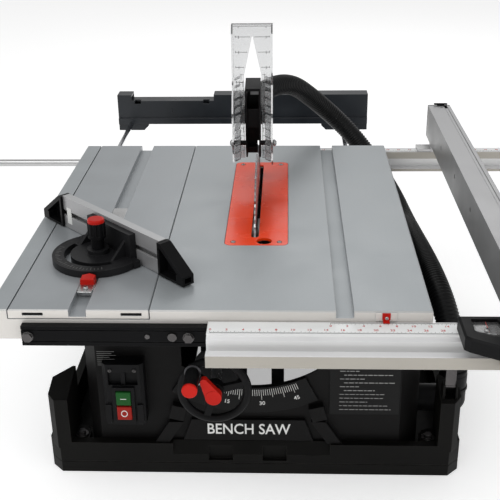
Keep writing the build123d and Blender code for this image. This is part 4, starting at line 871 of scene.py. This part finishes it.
def make_mitre_details():
    pivot = Vector(MITRE_PIVOT)
    ticks = []
    for degree in range(-60, 61, 5):
        angle = radians(degree - 90 - MITRE_TURN)
        long = 0.007 if degree % 15 == 0 else 0.0045
        radius = MITRE_SCALE_R - long / 2
        spot = pivot + Vector((radius * cos(angle), radius * sin(angle), MITRE_SCALE_TOP))
        ticks.append(place(spot, (long, 0.0007, 0.0003), Matrix.Rotation(angle, 3, "Z")))
    blocks("mitre_ticks", ticks, "faint_print", "mitre_gauge")
    # pale panel on the fence's face, near its far end
    turn = Matrix.Rotation(radians(-MITRE_TURN), 4, "Z")
    panel = Matrix.Translation(pivot) @ turn @ place((-0.1135, 0.0279, 0.3215), (0.0115, 0.0005, 0.0250))
    blocks("mitre_panel", [panel], "white_print", "mitre_gauge")
    low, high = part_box("mitre_pointer")
    centre = Vector(((low.x + high.x) / 2, low.y - 0.010, low.z + 0.0006))
    blocks("mitre_plate", [place(centre, (0.019, 0.021, 0.0016))], "steel", "mitre_slide_bar", 0.0003)
    on_plate = centre + Vector((0, 0, 0.0012))
    screws("mitre_plate_screw", [(on_plate, (0, 0, 1))], 0.0036, "mitre_slide_bar")


def make_carriage_details():
    """Thin black blocks just inside the two slots of the carriage's front edge: painted shade in them."""
    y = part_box("sliding_table")[0].y + 0.0013
    # black blocks standing in for the shade inside the slots
    slot_shade_blocks = [place((x, y, 0.2940), (0.0252, 0.0012, 0.0036)) for x in (-0.268, -0.145)]
    blocks("carriage_slot_shade", slot_shade_blocks, "black_plastic", "carriage", 0.0003)


def make_pointer_screw():
    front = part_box("scale_pointer")[0].y
    screws("pointer_screw", [((0.168, front - 0.00005, 0.2945), (0, -1, 0))], 0.0021, "saw_base")


WHEEL_FACE_Y = -0.33201


def make_wheel_details():
    """Thin washer on the wheel's face, behind the crank's knob."""
    low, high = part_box("crank_knob")
    middle = (low + high) / 2
    profile = [(0, 0), (0.0108, 0), (0.0110, 0.00022), (0.0108, 0.00044), (0, 0.00044)]
    where = facing((middle.x, WHEEL_FACE_Y, middle.z), (0, -1, 0))
    washer = from_bmesh("crank_washer", lathe(profile, where))
    add_piece("crank_washer", washer, "dark_steel", "handwheel_body", True)


NOTICE_LINES = (0.024, 0.020, 0.026, 0.017, 0.024, 0.021, 0.025, 0.012)
NOTICE_LEFT, NOTICE_TOP, NOTICE_PITCH = -0.2095, 0.1985, 0.0030
TITLE_CENTRE = (-0.0066, -0.26815, 0.0701)
TITLE_STRETCH, TITLE_HEIGHT = (0.87, 1.03), 0.0235


def make_cabinet_marks():
    """A small notice of plain lines at the cabinet's top left, and plain words on its front panel."""
    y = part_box("cabinet")[0].y - PRINT_LIFT
    bars = []
    for row, long in enumerate(NOTICE_LINES):
        centre = (NOTICE_LEFT + long / 2, y, NOTICE_TOP - row * NOTICE_PITCH)
        bars.append(place(centre, (long, PRINT_THICK, 0.0007)))
    blocks("cabinet_notice", bars, "faint_print", "saw_base")
    where = Matrix.Translation(TITLE_CENTRE) @ Matrix.Rotation(pi / 2, 4, "X")
    where = where @ Matrix.Diagonal((*TITLE_STRETCH, 1, 1))
    lettering("cabinet_title", [("BENCH SAW", where, TITLE_HEIGHT)], "white_print", "saw_base")


def make_insert_details():
    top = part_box("throat_insert")[1].z
    places = [((x, y, top - 0.0004), (0, 0, 1)) for x in (-0.030, 0.036) for y in (-0.138, 0.193)]
    screws("insert_screws", places, 0.0029, "saw_base")


make_camera()
make_hose()
make_studio()
dress_nodes()
make_rail_rules()
make_bevel_marks()
make_label_marks()
make_switch_details()
make_guard_details()
make_fence_details()
make_mitre_details()
make_insert_details()
make_wheel_details()
make_pointer_screw()
make_carriage_details()
make_cabinet_marks()
